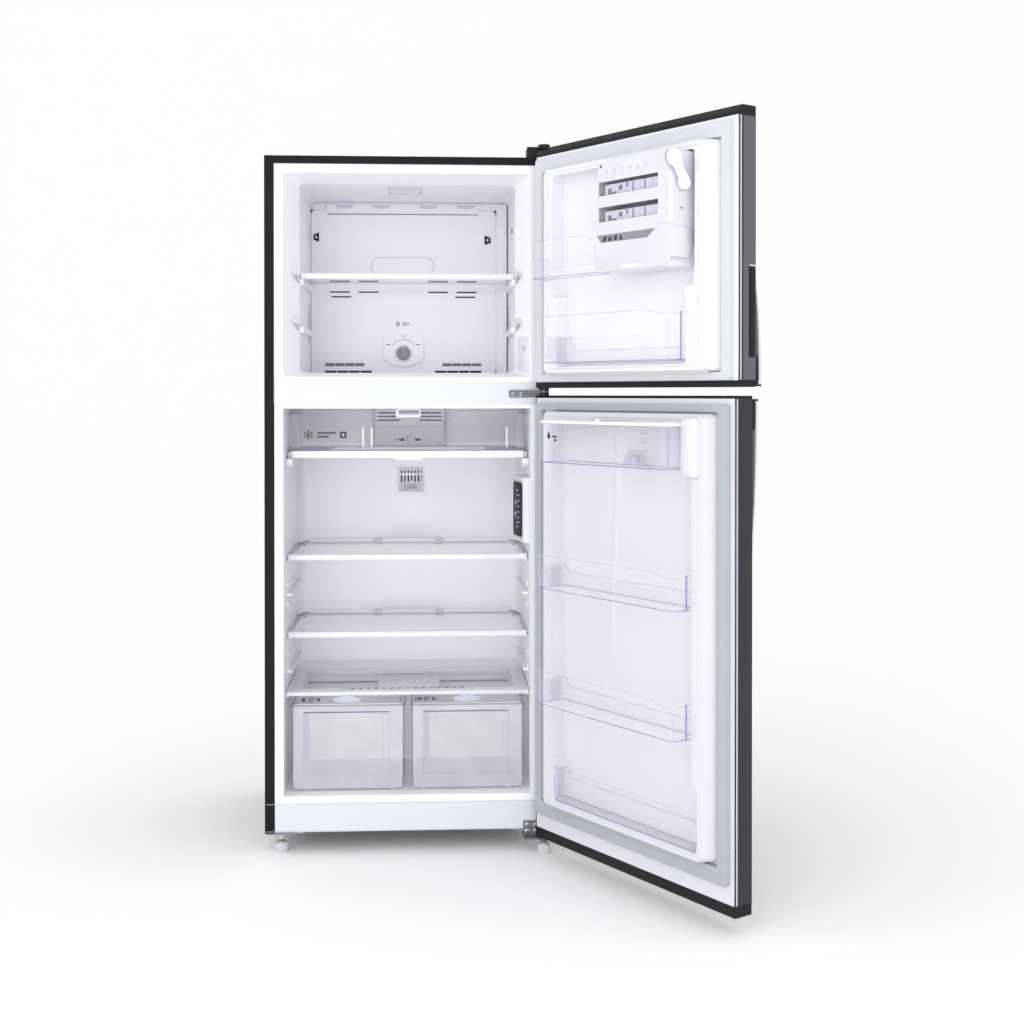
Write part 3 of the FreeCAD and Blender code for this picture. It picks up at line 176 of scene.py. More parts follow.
# each look: its slot, the CAD nodes that wear it and its material
LOOKS = {
    "shell": ("cabinet_paint", "cabinet_shell", painted("charcoal_paint", rgb(27, 25, 31), 0.12, 0.5,
        level=0.12)),
    # painted light: a lighter copy of the door paint for the freezer door's free edge, which catches more
    # light; both door skins wear door_side
    "lit_door_side": ("door_paint", "", brushed("door_paint_lit", rgb(92, 88, 99), 0.06, 0.45,
        (1, 1, 0.02), 0.15)),
    "door_side": ("door_paint", "freezer_door_skin fridge_door_skin",
        brushed("fridge_door_paint", rgb(37, 36, 42), 0.06, 0.45, (1, 1, 0.02), 0.15)),
    "steel": ("bare_steel", "rear_panel base_frame hinge_screws",
        brushed("zinc_steel", rgb(168, 168, 172), 0.12, 0.38, (0.1, 1, 1))),
    "hinge_steel": ("bare_steel", "middle_hinge bottom_hinge top_hinge",
        brushed("hinge_steel", rgb(112, 112, 118), 0.25, 0.42, (0.1, 1, 1), 0.6)),
    "rail": ("rail_paint", "center_rail base_panel",
        painted("white_paint", rgb(218, 220, 226), 0.012, 0.25)),
    "liner": ("liner_white", "freezer_liner fridge_liner",
        painted("liner_plastic", rgb(246, 245, 250), 0.012, 0.33, 0.00005, 0.002)),
    # painted light: a lighter copy of the door liner white for the freezer door's inside, for the light it
    # gets
    "panel": ("liner_white", "freezer_door_liner", painted("door_liner_plastic_lit", rgb(233, 232, 239), 0.012, 0.33,
        0.00005, 0.002)),
    # painted shade: the liner white a little darker on the evaporator cover, for the shade on it
    "cover": ("liner_white", "evaporator_cover", painted("cover_plastic_shaded", rgb(239, 238, 245), 0.012, 0.33,
        0.00005, 0.002)),
    "door_liner": ("liner_white", "fridge_door_liner ice_maker_housing",
        painted("door_liner_plastic", rgb(219, 218, 226), 0.012, 0.33, 0.00005, 0.002)),
    # painted shade: a shaded lavender-grey copy of the liner white, worn by white pegs, tabs, clips and
    # trims that sit in shade, the lever's outline shadow and the side-wall shade; also by printed icons and
    # thin lines
    "liner_shade": ("liner_white", "", painted("liner_painted_shade", rgb(206, 202, 222), 0.04, 0.4)),
    "trim": ("white_trim",
        "shelf_trims chiller_tray air_duct control_box crisper_cover tank_lid ice_lever "
        "damper_slider ice_bin",
        painted("white_moulding", rgb(229, 228, 235), 0.015, 0.3, 0.00004, 0.0015)),
    # painted light: a lighter copy of the white moulding for lit tops and faces: tank lid and tab, lever
    # face, bin grip, freezer door ledge and crisper shoulders
    "lit_trim": ("white_trim", "", painted("lit_trim_moulding", rgb(250, 249, 253), 0.01, 0.3, 0.00004,
        0.0015)),
    "clear": ("clear_plastic",
        "chiller_drawer crisper_left crisper_right freezer_small_bin freezer_large_bin "
        "door_bins bottom_bin water_tank ice_tray_upper ice_tray_lower",
        clear("clear_moulding", rgb(247, 246, 253), 0.03, 0.16)),
    # painted light: a pale half-opaque sheet that lightens the shaded drawer insides behind it
    "painted_light_veil": ("clear_plastic", "", clear("painted_light_veil_sheet", rgb(250, 248, 255), 0.47, 0.6, 0.2)),
    "clear_edge": ("clear_plastic", "", clear("clear_edge", rgb(204, 200, 230), 0.22, 0.5, 0.12)),
    "violet": ("clear_plastic", "", clear("violet_edge", rgb(148, 139, 204), 0.5, 0.8, 0.15)),
    "glass": ("shelf_glass", "glass_shelves crisper_glass",
        clear("shelf_pane", rgb(246, 248, 252), 0.02, 0.12, 0.05)),
    "glass_edge": (None, "", painted("glass_edge", rgb(212, 215, 226), 0.05, 0.2)),
    # painted light: one gasket rubber in two tones, the fridge's darker for its shade and the freezer's
    # lighter for the light on it
    "seal": ("seal_rubber", "fridge_door_gasket", painted("seal_rubber", rgb(174, 178, 183), 0.03, 0.55,
        0.00006, 0.0008)),
    "lit_seal": ("seal_rubber", "freezer_door_gasket",
        painted("lit_seal_rubber", rgb(208, 211, 216), 0.03, 0.55, 0.00006, 0.0008)),
    "black": ("black_plastic",
        "freezer_door_caps fridge_door_caps top_hinge_cover compressor fan_blade cord_inlet "
        "rear_rollers dispenser_housing dispenser_lever",
        painted("black_moulding", rgb(24, 23, 27), 0.15, 0.5, 0.00008, 0.0009, level=0.25)),
    "silver": ("handle_metal", "freezer_handle fridge_handle",
        brushed("silver_strip", rgb(214, 214, 220), 0.05, 0.3, (1, 1, 0.02), 0.4)),
    "knob": ("knob_grey", "temperature_knob", painted("knob_grey", rgb(140, 139, 150), 0.05, 0.42, 0.00008,
        0.0009)),
    "foot": ("foot_plastic", "left_foot right_foot",
        painted("foot_plastic", rgb(205, 205, 210), 0.04, 0.45)),
    "foam": (None, "cabinet_foam freezer_door_foam fridge_door_foam",
        painted("foam", rgb(226, 214, 170), 0.08, 0.9, 0.0006, 0.004)),
    "fins": ("aluminium_fins", "evaporator_coil", brushed("aluminium_fins", rgb(190, 190, 195), 0.06, 0.35,
        (1, 1, 0.1))),
    "motor": ("motor_grey", "fan_motor", painted("motor_paint", rgb(84, 84, 90), 0.08, 0.45)),
    # board: the dark fibre board of the rear cover; also painted shade in vent openings, cover holes, screw
    # sockets, the ice maker's side gap, the ice bin window and the freezer door's edge bend, and dark seam
    # lines
    "board": ("board", "rear_cover", painted("fibre_board_and_shade", rgb(64, 58, 54), 0.2, 0.8, 0.0003, 0.0012)),
    # shadow: deep grey, painted shade at the duct slot's bottom and behind the lower vents; also the real
    # grey of the wall sensor, screws, wire clips, lamp clip, flange lines and printed lines, and the dark
    # shapes in the tray windows
    "shadow": (None, "", painted("deep_grey_and_shade", rgb(120, 117, 132), 0.08, 0.6)),
    "mark": (None, "", painted("printed_mark", rgb(52, 50, 58), 0.06, 0.5)),
    "lens": (None, "", painted("light_lens", rgb(198, 200, 210), 0.06, 0.2, 0.0002, 0.0025)),
    "grip": (None, "", painted("grip_print", rgb(186, 190, 208), 0.04, 0.4)),
    "copper": (None, "", brushed("copper_pipe", rgb(186, 120, 84), 0.1, 0.3, (1, 1, 0.1))),
}
for slot, nodes, shader in LOOKS.values():
    for node in nodes.split():
        mesh = NODES[node].data
        mesh.materials.clear()
        mesh.materials.append(shader.material)


# ---------------------------------------------------------------- mesh tools
WELD = 1e-6
BEVEL_ANGLE, CREASE_ANGLE = 35, 38
SIDES = (-1, 1)
PLACE = {
    "x": lambda p, t: (t, p[0], p[1]),
    "y": lambda p, t: (p[0], t, p[1]),
    "z": lambda p, t: (p[0], p[1], t),
}
DOOR_BODIES = {
    "freezer_door": "freezer", "ice_lever": "freezer", "ice_tray_lower": "freezer", "ice_bin": "freezer",
    "fridge_door": "fridge", "dispenser_lever": "fridge",
}


def piece(name, look, shape, body="cabinet", bevel=0.0, replaces=()):
    """Object from a shape or a list of shapes, bound to its body.  A shape is (points, faces);
    the points are (x, distance behind the cabinet front, z) in millimetres with the doors closed."""
    points, faces = merge(shape) if isinstance(shape, list) else shape
    turn = TURN[DOOR_BODIES.get(body, "cabinet")]
    slot, _, shader = LOOKS[look]
    mesh = bpy.data.meshes.new(name)
    mesh.from_pydata([turn @ Vector((x * MM, (FRONT + y) * MM, z * MM)) for x, y, z in points], [], faces)
    work = bmesh.new()
    work.from_mesh(mesh)
    bmesh.ops.remove_doubles(work, verts=work.verts, dist=WELD)
    bmesh.ops.recalc_face_normals(work, faces=work.faces)
    work.to_mesh(mesh)
    work.free()
    mesh.materials.append(shader.material)
    item = bpy.data.objects.new(name, mesh)
    bpy.context.scene.collection.objects.link(item)
    if bevel:
        rounding = item.modifiers.new("edges", "BEVEL")
        rounding.width = bevel * MM
        rounding.segments = 2
        rounding.limit_method = "ANGLE"
        rounding.angle_limit = math.radians(BEVEL_ANGLE)
    mesh.shade_smooth()
    crease = item.modifiers.new("shade", "EDGE_SPLIT")
    crease.split_angle = math.radians(CREASE_ANGLE)
    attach(item, body)
    if replaces:
        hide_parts(*replaces)


def loft(rings, caps=True, closed=False):
    """Vertices and faces of a skin through rings of equal length."""
    count = len(rings[0])
    vertices = [point for ring in rings for point in ring]
    faces = []
    spans = len(rings) if closed else len(rings) - 1
    for i in range(spans):
        a, b = i * count, (i + 1) % len(rings) * count
        for j in range(count):
            k = (j + 1) % count
            faces.append((a + j, a + k, b + k, b + j))
    if caps and not closed:
        faces.append(tuple(reversed(range(count))))
        faces.append(tuple(range((len(rings) - 1) * count, len(rings) * count)))
    return vertices, faces


def skin(rows):
    """Single open surface through rows of points of equal length."""
    count = len(rows[0])
    vertices = [point for row in rows for point in row]
    faces = []
    for i in range(len(rows) - 1):
        for j in range(count - 1):
            a = i * count + j
            faces.append((a, a + 1, a + 1 + count, a + count))
    return vertices, faces


def sheet(outer, inner, y):
    """Flat single-sheet ring in an upright plane."""
    return loft([[(x, y, z) for x, z in outline] for outline in (outer, inner)], caps=False)


def merge(shapes):
    """One shape out of several."""
    points, faces = [], []
    for more_points, more_faces in shapes:
        faces += [tuple(i + len(points) for i in face) for face in more_faces]
        points += more_points
    return points, faces


def arc(x, z, radius, start, steps, sweep=90):
    """Points of an arc from a start angle over a sweep, in degrees."""
    turns = [math.radians(start + sweep * i / steps) for i in range(steps + 1)]
    return [(x + radius * math.cos(t), z + radius * math.sin(t)) for t in turns]


def rect(left, right, low, high, radius=0.0, steps=4):
    """Rounded rectangle as a list of points, anticlockwise."""
    if radius <= 0:
        return [(left, low), (right, low), (right, high), (left, high)]
    a, b, c, d = left + radius, right - radius, low + radius, high - radius
    corners = ((b, c, -90), (b, d, 0), (a, d, 90), (a, c, 180))
    return [point for x, z, start in corners for point in arc(x, z, radius, start, steps)]


def ellipse(x, z, across, up, sides=28):
    """Ellipse as a list of points."""
    turns = [2 * math.pi * i / sides for i in range(sides)]
    return [(x + across * math.cos(t), z + up * math.sin(t)) for t in turns]


def prism(axis, outline, start, end):
    """Outline pushed along an axis; its points are the other two coordinates in order."""
    return loft([[PLACE[axis](p, t) for p in outline] for t in (start, end)])


def block(axis, left, right, low, high, start, end, radius=0.0):
    """Rounded rectangle pushed along an axis."""
    return prism(axis, rect(left, right, low, high, radius), start, end)


def span(side, near, far):
    """Range between two distances from the middle, on the left (-1) or the right (1)."""
    return sorted((side * near, side * far))


def frame_shape(axis, outer, inner, low, high):
    """Ring between two outlines with the same number of points."""
    order = ((outer, low), (outer, high), (inner, high), (inner, low))
    return loft([[PLACE[axis](p, t) for p in points] for points, t in order], closed=True)


def tube(path, radius, sides=8, closed=False):
    """Round bar along a list of points."""
    rings = []
    count = len(path)
    for i, point in enumerate(path):
        before = Vector(path[(i - 1) % count]) if closed or i else Vector(path[0])
        after = Vector(path[(i + 1) % count]) if closed or i < count - 1 else Vector(path[-1])
        along = (after - before).normalized()
        side = along.cross(Vector((0, 0, 1)))
        if side.length < 0.3:
            side = along.cross(Vector((0, 1, 0)))
        side.normalize()
        up = side.cross(along)
        turns = [2 * math.pi * j / sides for j in range(sides)]
        middle = Vector(point)
        rings.append([tuple(middle + radius * (math.cos(t) * side + math.sin(t) * up)) for t in turns])
    return loft(rings, closed=closed)


def lathe(profile, centre, axis="y", sides=36):
    """Turned solid; the profile is (radius, place along the axis) from end to end."""
    return loft([[PLACE[axis](p, t) for p in ellipse(*centre, max(r, 0.01), max(r, 0.01), sides)]
        for r, t in profile])


def bar(x1, z1, x2, z2, width):
    """Thin straight bar between two points as an outline."""
    dx, dz = x2 - x1, z2 - z1
    length = math.hypot(dx, dz)
    nx, nz = -dz / length * width / 2, dx / length * width / 2
    return [(x1 + nx, z1 + nz), (x1 - nx, z1 - nz), (x2 - nx, z2 - nz), (x2 + nx, z2 + nz)]


def flake(x, z, size):
    """Outlines of a six-armed snow crystal."""
    shapes = []
    for arm in range(6):
        t = math.radians(60 * arm + 30)
        tip = (x + size * math.cos(t), z + size * math.sin(t))
        shapes.append(bar(x, z, *tip, size * 0.16))
        root = (x + size * 0.55 * math.cos(t), z + size * 0.55 * math.sin(t))
        for side in SIDES:
            s = t + side * math.radians(50)
            twig = (root[0] + size * 0.35 * math.cos(s), root[1] + size * 0.35 * math.sin(s))
            shapes.append(bar(*root, *twig, size * 0.13))
    return shapes


def leaf(x, z, size):
    """Outlines of a leaf on a stalk."""
    blade = [(x + size * t, z + size * 0.5 * math.sin(math.pi * (t + 0.6) / 1.6))
        for t in (-0.6, -0.3, 0, 0.3, 0.6, 0.85, 1.0)]
    under = [(x + size * t, z - size * 0.35 * math.sin(math.pi * (t + 0.6) / 1.6))
        for t in (0.85, 0.6, 0.3, 0, -0.3)]
    return [blade + under, bar(x - size, z - size * 0.25, x - size * 0.5, z, size * 0.16)]


def fruit(x, z, size):
    """Outlines of an apple with a stalk."""
    body = []
    for across, up in ellipse(0, 0, 1, 1, 24):
        dent = size * 0.22 * math.exp(-8 * across ** 2) * (up > 0)
        body.append((x + size * 0.8 * across, z + size * 0.75 * up - dent))
    return [body, bar(x, z + size * 0.45, x + size * 0.3, z + size * 1.05, size * 0.15)]


def drop(x, z, size):
    """Outline of a water drop."""
    points = []
    for i in range(20):
        t = 2 * math.pi * i / 20
        lift = max(0.0, math.sin(t)) ** 5 * size * 0.7
        points.append((x + size * 0.6 * math.cos(t), z + size * 0.6 * math.sin(t) + lift))
    return [points]


def printed(name, outlines, near, look="mark", thick=0.35, body="cabinet"):
    """Flat printed mark made of several outlines in an upright plane."""
    piece(name, look, [prism("y", o, near, near + thick) for o in outlines], body)


# ---------------------------------------------------------------- clear bins and drawers
def tub(name, body, left, right, near, far, low, high, replaces, face="far", corner=10, front=16,
        foot=5.0, step=0.5, sink=lambda x, y: 0.0, marks=(24, 40)):
    """Moulded clear bin of one sheet: drafted and stepped wall, thin rim and denser base line.
    sink lowers the rim at a place; the bin's front is its far or its near side."""
    r_near, r_far = (corner, front) if face == "far" else (front, corner)
    stops = [left + m for m in marks] + [right - m for m in reversed(marks)]

    def plan(inset):
        """Outline seen from above, inset from the rim's."""
        rn, rf = max(1.2, r_near - inset), max(1.2, r_far - inset)
        a, b, c, d = left + inset, right - inset, near + inset, far - inset
        loop = [(m, c) for m in stops]
        loop += arc(b - rn, c + rn, rn, -90, 5) + arc(b - rf, d - rf, rf, 0, 5)
        loop += [(m, d) for m in reversed(stops)]
        return loop + arc(a + rf, d - rf, rf, 90, 5) + arc(a + rn, c + rn, rn, 180, 5)

    drop_by = [sink(x, y) for x, y in plan(0)]

    def ring(inset, share, lift=0.0):
        """Points round the wall at a share of its height."""
        places = zip(plan(inset), drop_by)
        return [(x, y, low + lift + share * (high - fall - low)) for (x, y), fall in places]

    outer = [
        ring(foot + 3, 0), ring(foot, 0, 0.6), ring(foot - 1.5, 0, 3.5), ring(2.6, step - 0.03),
        ring(1.0, step), ring(1.0, 0.93), ring(0.2, 0.94), ring(0.2, 0.995), ring(0.7, 1.0),
    ]
    points, faces = loft(outer)
    piece(name, "clear", (points, faces[:-1]), body, replaces=replaces)
    rim = [ring(-0.1, 0.98), ring(-0.1, 1.003), ring(1.7, 1.003), ring(1.7, 0.985)]
    piece(name + "_rim", "clear_edge", loft(rim, closed=True), body)
    piece(name + "_base", "violet", tube(ring(foot - 1.0, 0, 1.6), 0.8, 6, closed=True), body)
    posts = []
    toward = 1 if face == "near" else -1
    front_y = near if face == "near" else far
    for x, sign in ((left, 1), (right, -1)):
        reach = front * 0.3
        path = [(reach + foot, low + 2), (reach + 1.2, low + step * (high - low)),
            (reach + 1.2, high - sink(x + sign * reach, front_y) - 2)]
        posts.append(tube([(x + sign * r, front_y + toward * r, z) for r, z in path], 0.6, 6))
    piece(name + "_corners", "clear_edge", posts, body)


# ---------------------------------------------------------------- freezer inside
COVER_X, COVER_FACE = -17, 424.6
KNOB, KNOB_FACE = (COVER_X, 1224), 416.9
WALL = (266.2, 267.3)


def vent_shade_back(offset, half, low, high):
    """Dark plate behind a vent, painted shade seen through its slots, at an offset from the evaporator
    cover's middle.
    """
    centre = COVER_X + offset
    return block("y", centre - half, centre + half, low, high, 428.4, 430, 2)


def freezer_inside():
    """Trims, marks and fittings on the freezer's walls."""
    header = [block("y", *ends, 1612.6, 1632.4, 423, 430, 2) for ends in ((-266, -227), (196, 264))]
    header.append(block("y", -228.5, 197.5, 1627.5, 1632.4, 423.6, 430, 1))
    piece("freezer_header", "trim", header, bevel=0.8)
    piece("freezer_duct_back", "liner", block("y", -236, 206, 1590, 1632.6, 431, 433, 3))
    piece("freezer_duct_shade", "shadow", block("y", -226, 196, 1598.6, 1603, 430.2, 431, 1.5))
    tabs = []
    for left, right in ((-199, -153), (-100, -54), (28, 74), (129, 174)):
        tabs.append(block("y", left, right, 1620, 1629, 425, 429, 3))
        tabs.append(tube([(left + 3, 426, 1620.4), ((left + right) / 2, 426, 1618.6),
            (right - 3, 426, 1620.4)], 1.1))
    piece("freezer_duct_tabs", "liner_shade", tabs, bevel=0.6)
    clips, tongues = [], []
    for outer, inner, low, high in ((-259, -245, 1526, 1551), (220, 204, 1520, 1545)):
        clips.append(prism("y", [(outer, low + 5), (inner, low), (inner, high), (outer, high - 7)], 420.5,
            425.2))
        middle = (outer + inner) / 2
        tongues.append(block("y", middle - 2.6, middle + 2.6, low + 8, high - 9, 418.5, 421, 1.5))
    piece("cover_clips", "black", clips, bevel=0.8)
    piece("cover_clip_tongues", "liner_shade", tongues, bevel=0.6)
    # painted shade: the stadium-shaped groove on the evaporator cover drawn as a thin tube in the shaded
    # liner colour
    rail = [(x, COVER_FACE, z) for x, z in rect(-104, 66, 1437, 1484, 23.4, 8)]
    piece("evaporator_groove_shade", "liner_shade", tube(rail, 1.0, closed=True))
    # painted shade: dark plates behind the cover's vent slots
    backs = [vent_shade_back(offset, 29, 1384, 1424) for offset in (-94, 94, -172, 172)]
    for side in SIDES:
        backs += [vent_shade_back(side * 168, 29, 1372, 1383.5), vent_shade_back(side * 149, 66, 1168, 1180)]
    piece("vent_shade_backs", "board", backs)
    backs = [vent_shade_back(side * 159, 56, 1187, 1200) for side in SIDES]
    piece("lower_vent_shade_backs", "shadow", backs)
    fins = []
    for side in SIDES:
        for offset, width, z in ((106, 106, 1193), (86, 126, 1173)):
            for share in (0.25, 0.5, 0.75):
                x = COVER_X + side * (offset + width * share)
                fins.append(block("y", x - 1, x + 1, z - 4, z + 4, 425.6, 428))
    piece("vent_fins", "trim", fins)
    scale = [(x, KNOB_FACE, z) for x, z in arc(*KNOB, 37, 35, 16, 110)]
    piece("knob_scale", "shadow", tube(scale, 0.5))
    dots = []
    for (x, z), length in zip(arc(*KNOB, 47, 150, 2, -120), (11, 8, 11)):
        dots.append(rect(x - length / 2, x + length / 2, z - 1.1, z + 1.1, 0.6))
    printed("knob_scale_marks", dots[::2], 416.6)
    printed("knob_top_mark", dots[1:2], COVER_FACE)
    halo = [(17.6, KNOB_FACE), (17.6, 415.2), (19, 414.4), (22.5, 414.8), (23.5, KNOB_FACE)]
    piece("knob_halo", "trim", lathe(halo, KNOB))
    knob = [(0, 402.6), (11.5, 402.8), (14.2, 401.2), (16, 401.6), (17, 403.2), (17, 415.5), (6.2, 416),
        (6, 436)]
    piece("knob_cap", "knob", lathe(knob, KNOB), "temperature_knob", replaces=("temperature_knob",))
    piece("knob_pointer", "trim", block("y", -18, -16, 1234, 1239.5, 401, 402.2, 0.8), "temperature_knob",
        0.3)
    words = [rect(-20, 0, 1304.5, 1306.5, 0.8), rect(-20, -8, 1299.5, 1301.5, 0.8)]
    printed("freezer_mark", flake(-32, 1303, 7) + words, COVER_FACE)
    hooks = []
    for side in SIDES:
        for z in (1410, 1292):
            x = side * 271 - 2
            hooks.append(block("y", x - 5.6, x + 5.6, z - 4, z + 8, 33, 41, 5))
            hooks.append(block("y", x - 3.4, x + 3.4, z - 1.5, z + 5.5, 31, 34, 3))
            rib = [(40, z - 2), (78, z - 8), (78, z - 26), (60, z - 16), (40, z - 9)]
            hooks.append(prism("x", rib, *span(side, 266, 271)))
    # the pegs wear the shaded liner colour: painted shade
    piece("shelf_pegs", "liner_shade", hooks, bevel=1.2)
    piece("freezer_lamp_lens", "lens", block("z", -50, 35, 128, 224, 1627, 1634, 6), bevel=2)
    ribs = [block("z", -44, 29, 140 + 11 * i, 142 + 11 * i, 1626, 1628) for i in range(7)]
    piece("freezer_lamp_ribs", "trim", ribs)
    piece("wall_sensor", "shadow", block("x", 196, 206, 1526, 1540, 264.5, 268, 2), bevel=0.8)
    # painted shade: lens-shaped plates on the side walls, darker than the liner, for the shade of the
    # bulges beside the evaporator cover
    lens = [(310 + 100 * i / 14, 1293 + 56 * math.sin(math.pi * i / 14)) for i in range(15)]
    lens += [(310 + 100 * i / 14, 1293 - 48 * math.sin(math.pi * i / 14)) for i in range(13, 0, -1)]
    for side, end in ((-1, "left"), (1, "right")):
        piece("side_bulge_shade_" + end, "liner_shade", prism("x", lens, *span(side, *WALL)), bevel=0.5)
    grooves = []
    for side in SIDES:
        grooves += [block("x", 96, 380, z, z + 1.6, *span(side, *WALL)) for z in (1250, 1340, 1450, 1560)]
    piece("wall_beads", "liner", grooves)
    box_lean = [(296.5, 8), (300.5, 10), (277, 70), (271, 70)]
    piece("door_switch_box", "trim", prism("z", box_lean, 1162, 1256), bevel=2)
    piece("door_switch_square", "liner_shade", prism("z", [(286, 26), (288, 27), (283.6, 38), (281.6, 37)],
        1218, 1232), bevel=0.5)
    column = [block("y", 245, 256, z, z + 46, 419, 421, 2) for z in (1190, 1260, 1440, 1520)]
    piece("column_ribs", "liner", column, bevel=0.6)


# ---------------------------------------------------------------- fresh food inside
SHELF_TOPS, FREEZER_SHELF_TOP = (715, 523), 1413
PANEL_EDGES = ((286, 44), (266, 168))
PANEL_PRINT = (1.5, 2.0)


def lean(s, depth):
    """Point on the control box's slanted face, s from its front edge to its rear one."""
    start, end = map(Vector, PANEL_EDGES)
    along = (end - start).normalized()
    point = start + along * s + along.orthogonal() * depth
    return point.x, point.y


def leaning(outline, near, far):
    """Outline of (place along the face, height) as a plate on the slanted face."""
    return loft([[(*lean(s, t), z) for s, z in outline] for t in (near, far)])


def fridge_inside():
    """Lamp, vent, control panel, clips and marks of the fresh food space."""
    piece("ceiling_sensor_frame", "trim", frame_shape(
        "y", rect(-29, 32, 1056, 1077.8, 3), rect(-22, 28, 1062, 1074, 2), 42, 52), bevel=1)
    piece("ceiling_sensor_box", "trim", block("z", -27, 30, 45, 62, 1058, 1078, 2), bevel=1)
    piece("ceiling_sensor_face", "lens", block("y", -22.5, 28.5, 1061.5, 1074.5, 43.6, 45))
    printed("ceiling_sensor_bar", [rect(-22, 28, 1065.5, 1073.4, 1)], 43.2, "knob")
    slots = []
    for i in range(7):
        x = -25 + 9.2 * i
        slots += [rect(x, x + 4.4, 896, 904, 1.2), rect(x, x + 4.4, 875 if i == 3 else 872, 890, 1.2)]
    vent = [
        frame_shape("y", rect(-32, 36, 848, 909, 4), rect(-28, 32, 870, 906, 3), 456, 469.6),
        block("y", -28.5, 32.5, 866, 906.5, 458.5, 462, 3), block("y", -32, 36, 845, 849, 454, 469, 1.5),
    ]
    piece("vent_frame", "trim", vent, bevel=0.8)
    # the vent slots are dark prints: painted shade in the openings
    printed("vent_slots", slots, 458.1, "board", 0.6)
    piece("vent_lamp", "lens", block("y", -29, 33, 847.5, 867.5, 452.6, 458, 3), bevel=1)
    filament = [(-14 + 2.2 * i, 452.0, 856 + (3.0 if i % 2 else -1.5)) for i in range(14)]
    piece("vent_lamp_coil", "mark", tube(filament, 0.9))
    piece("vent_lamp_clip", "shadow", block("y", -17, 18, 862.5, 864.5, 451.8, 452.8, 1))
    piece("control_panel", "black", leaning(rect(14, 113, 757, 893, 14), -0.5, 1.6), bevel=0.6)
    marks = [leaning(rect(56, 72, z - 1.5, z + 1.5, 1), *PANEL_PRINT) for z in (872, 780)]
    for i, z in enumerate((860, 846, 832, 818, 804, 792)):
        marks.append(leaning(rect(46 - 3 * (i % 2), 58, z - 1.2, z + 1.2, 0.8), *PANEL_PRINT))
        marks.append(leaning(rect(66, 72 + 4 * (i % 2), z - 2.4, z - 0.6, 0.8), *PANEL_PRINT))
    marks += [leaning(ellipse(84, z, 5, 5, 16), *PANEL_PRINT) for z in (839, 811)]
    piece("control_marks", "trim", marks)
    piece("control_shadow_gap", "liner_shade", leaning(rect(8, 119, 751, 899, 17), -0.6, 0.5), bevel=0.3)
    noses = []
    for side in SIDES:
        nose = [(56, 953.5), (92.5, 953.5), (92.5, 933), (68, 933), (58, 941)]
        noses.append(prism("x", nose, *span(side, 283, 299.4)))
        for top in SHELF_TOPS:
            nose = [(y, top - drop_by) for y, drop_by in ((84, 12.5), (102, 12.5), (102, 19), (90, 19))]
            noses.append(prism("x", nose, *span(side, 288.5, 299.6)))
    piece("shelf_brackets", "trim", noses, bevel=1.2)
    piece("tray_lip", "trim", prism("y", [(-34, 955.4), (37, 955.4), (35, 950.6), (28, 948.8), (-25, 948.8),
        (-32, 950.6)], 80.5, 84), bevel=0.8)
    seats = []
    for side in SIDES:
        for z in (640, 590, 470, 430):
            seat = [(96, z + 4), (112, z + 4), (112, z - 8), (104, z - 8)]
            seats.append(prism("x", seat, *span(side, 296.5, 300.2)))
            seats.append(block("x", 112, 396, z - 1.2, z + 3.2, *span(side, 298.4, 300.2), 1.5))
    piece("spare_shelf_ribs", "liner", seats, bevel=0.6)
    clips, springs, bars, lines = [], [], [], []
    for top in SHELF_TOPS:
        for x in (-87, 80):
            clips.append(block("y", x - 12, x + 12, top - 9, top + 8, 400, 412, 3))
        bars.append(block("y", -74, 67, top - 3, top + 8, 401, 404, 2))
        for z in (top - 3.6, top + 9.4):
            lines.append(tube([(-262, 401, z), (262, 401, z)], 0.7, 6))
        for side in SIDES:
            x = side * 286
            wire = [(270, 404, 1.5), (286, 390, 1), (283, 372, 1), (295, 352, 0.5)]
            springs.append(tube([(side * across, y, top + up) for across, y, up in wire], 1.3))
            springs.append(tube([(x, 390, top - 8), (x - side * 8, 392, top - 9)], 1.5))
    # the rear clips wear the shaded liner colour: painted shade
    piece("shelf_rear_clips", "liner_shade", clips, bevel=1)
    piece("shelf_rear_bars", "trim", bars, bevel=0.8)
    piece("shelf_rear_lines", "clear_edge", lines)
    piece("shelf_wire_clips", "shadow", springs)
    beads = []
    shelves = [(top, 296, 400) for top in SHELF_TOPS] + [(FREEZER_SHELF_TOP, 264, 378)]
    for top, half, end in shelves:
        for y, drop_by, radius in ((83.8, 2, 1.9), (84.3, 12, 1.6)):
            beads.append(tube([(-half, y, top - drop_by), (half, y, top - drop_by)], radius))
    piece("shelf_nosing", "trim", beads)
    edges = []
    for top, half, end in shelves:
        for side in SIDES:
            edges.append(block("z", *span(side, half - 2, half - 3.2), 96, end, top - 4.9, top - 1.0))
    piece("shelf_pane_edges", "glass_edge", edges)
    grid = [block("z", -120, 120, 150 + 46 * i, 151.4 + 46 * i, 971.9, 973) for i in range(4)]
    piece("tray_ribs", "trim", grid)
    # painted shade: dark plates under the crisper cover's slots and dark dots on its sloped front for the
    # shade in its holes
    holes = [ellipse(-161 + 23 * i, 62, 4.2, 3.4, 14) for i in range(15)]
    piece("cover_slot_shade_backs", "board", [prism("z", o, 371, 372.6) for o in holes])
    piece("cover_groove", "knob", block("z", -167, 164, 79, 82, 381.9, 382.25, 1))
    spots = [ellipse(-137 + 19.4 * i, 80, 3.2, 6.5, 14) for i in range(15)]
    piece("cover_hole_shade_spots", "mark", [prism("z", o, 381.9, 382.4) for o in spots])
    piece("cover_front_bead", "trim", tube([(-297, 42, 378), (297, 42, 378)], 3.2))
    piece("cover_catch", "trim", block("z", -14, 14, 86, 96, 381, 383.4, 4), bevel=0.8)
    piece("cover_middle_bridge", "liner", block("z", -79, 79, 100, 318, 371.5, 372.4, 6), bevel=0.3)


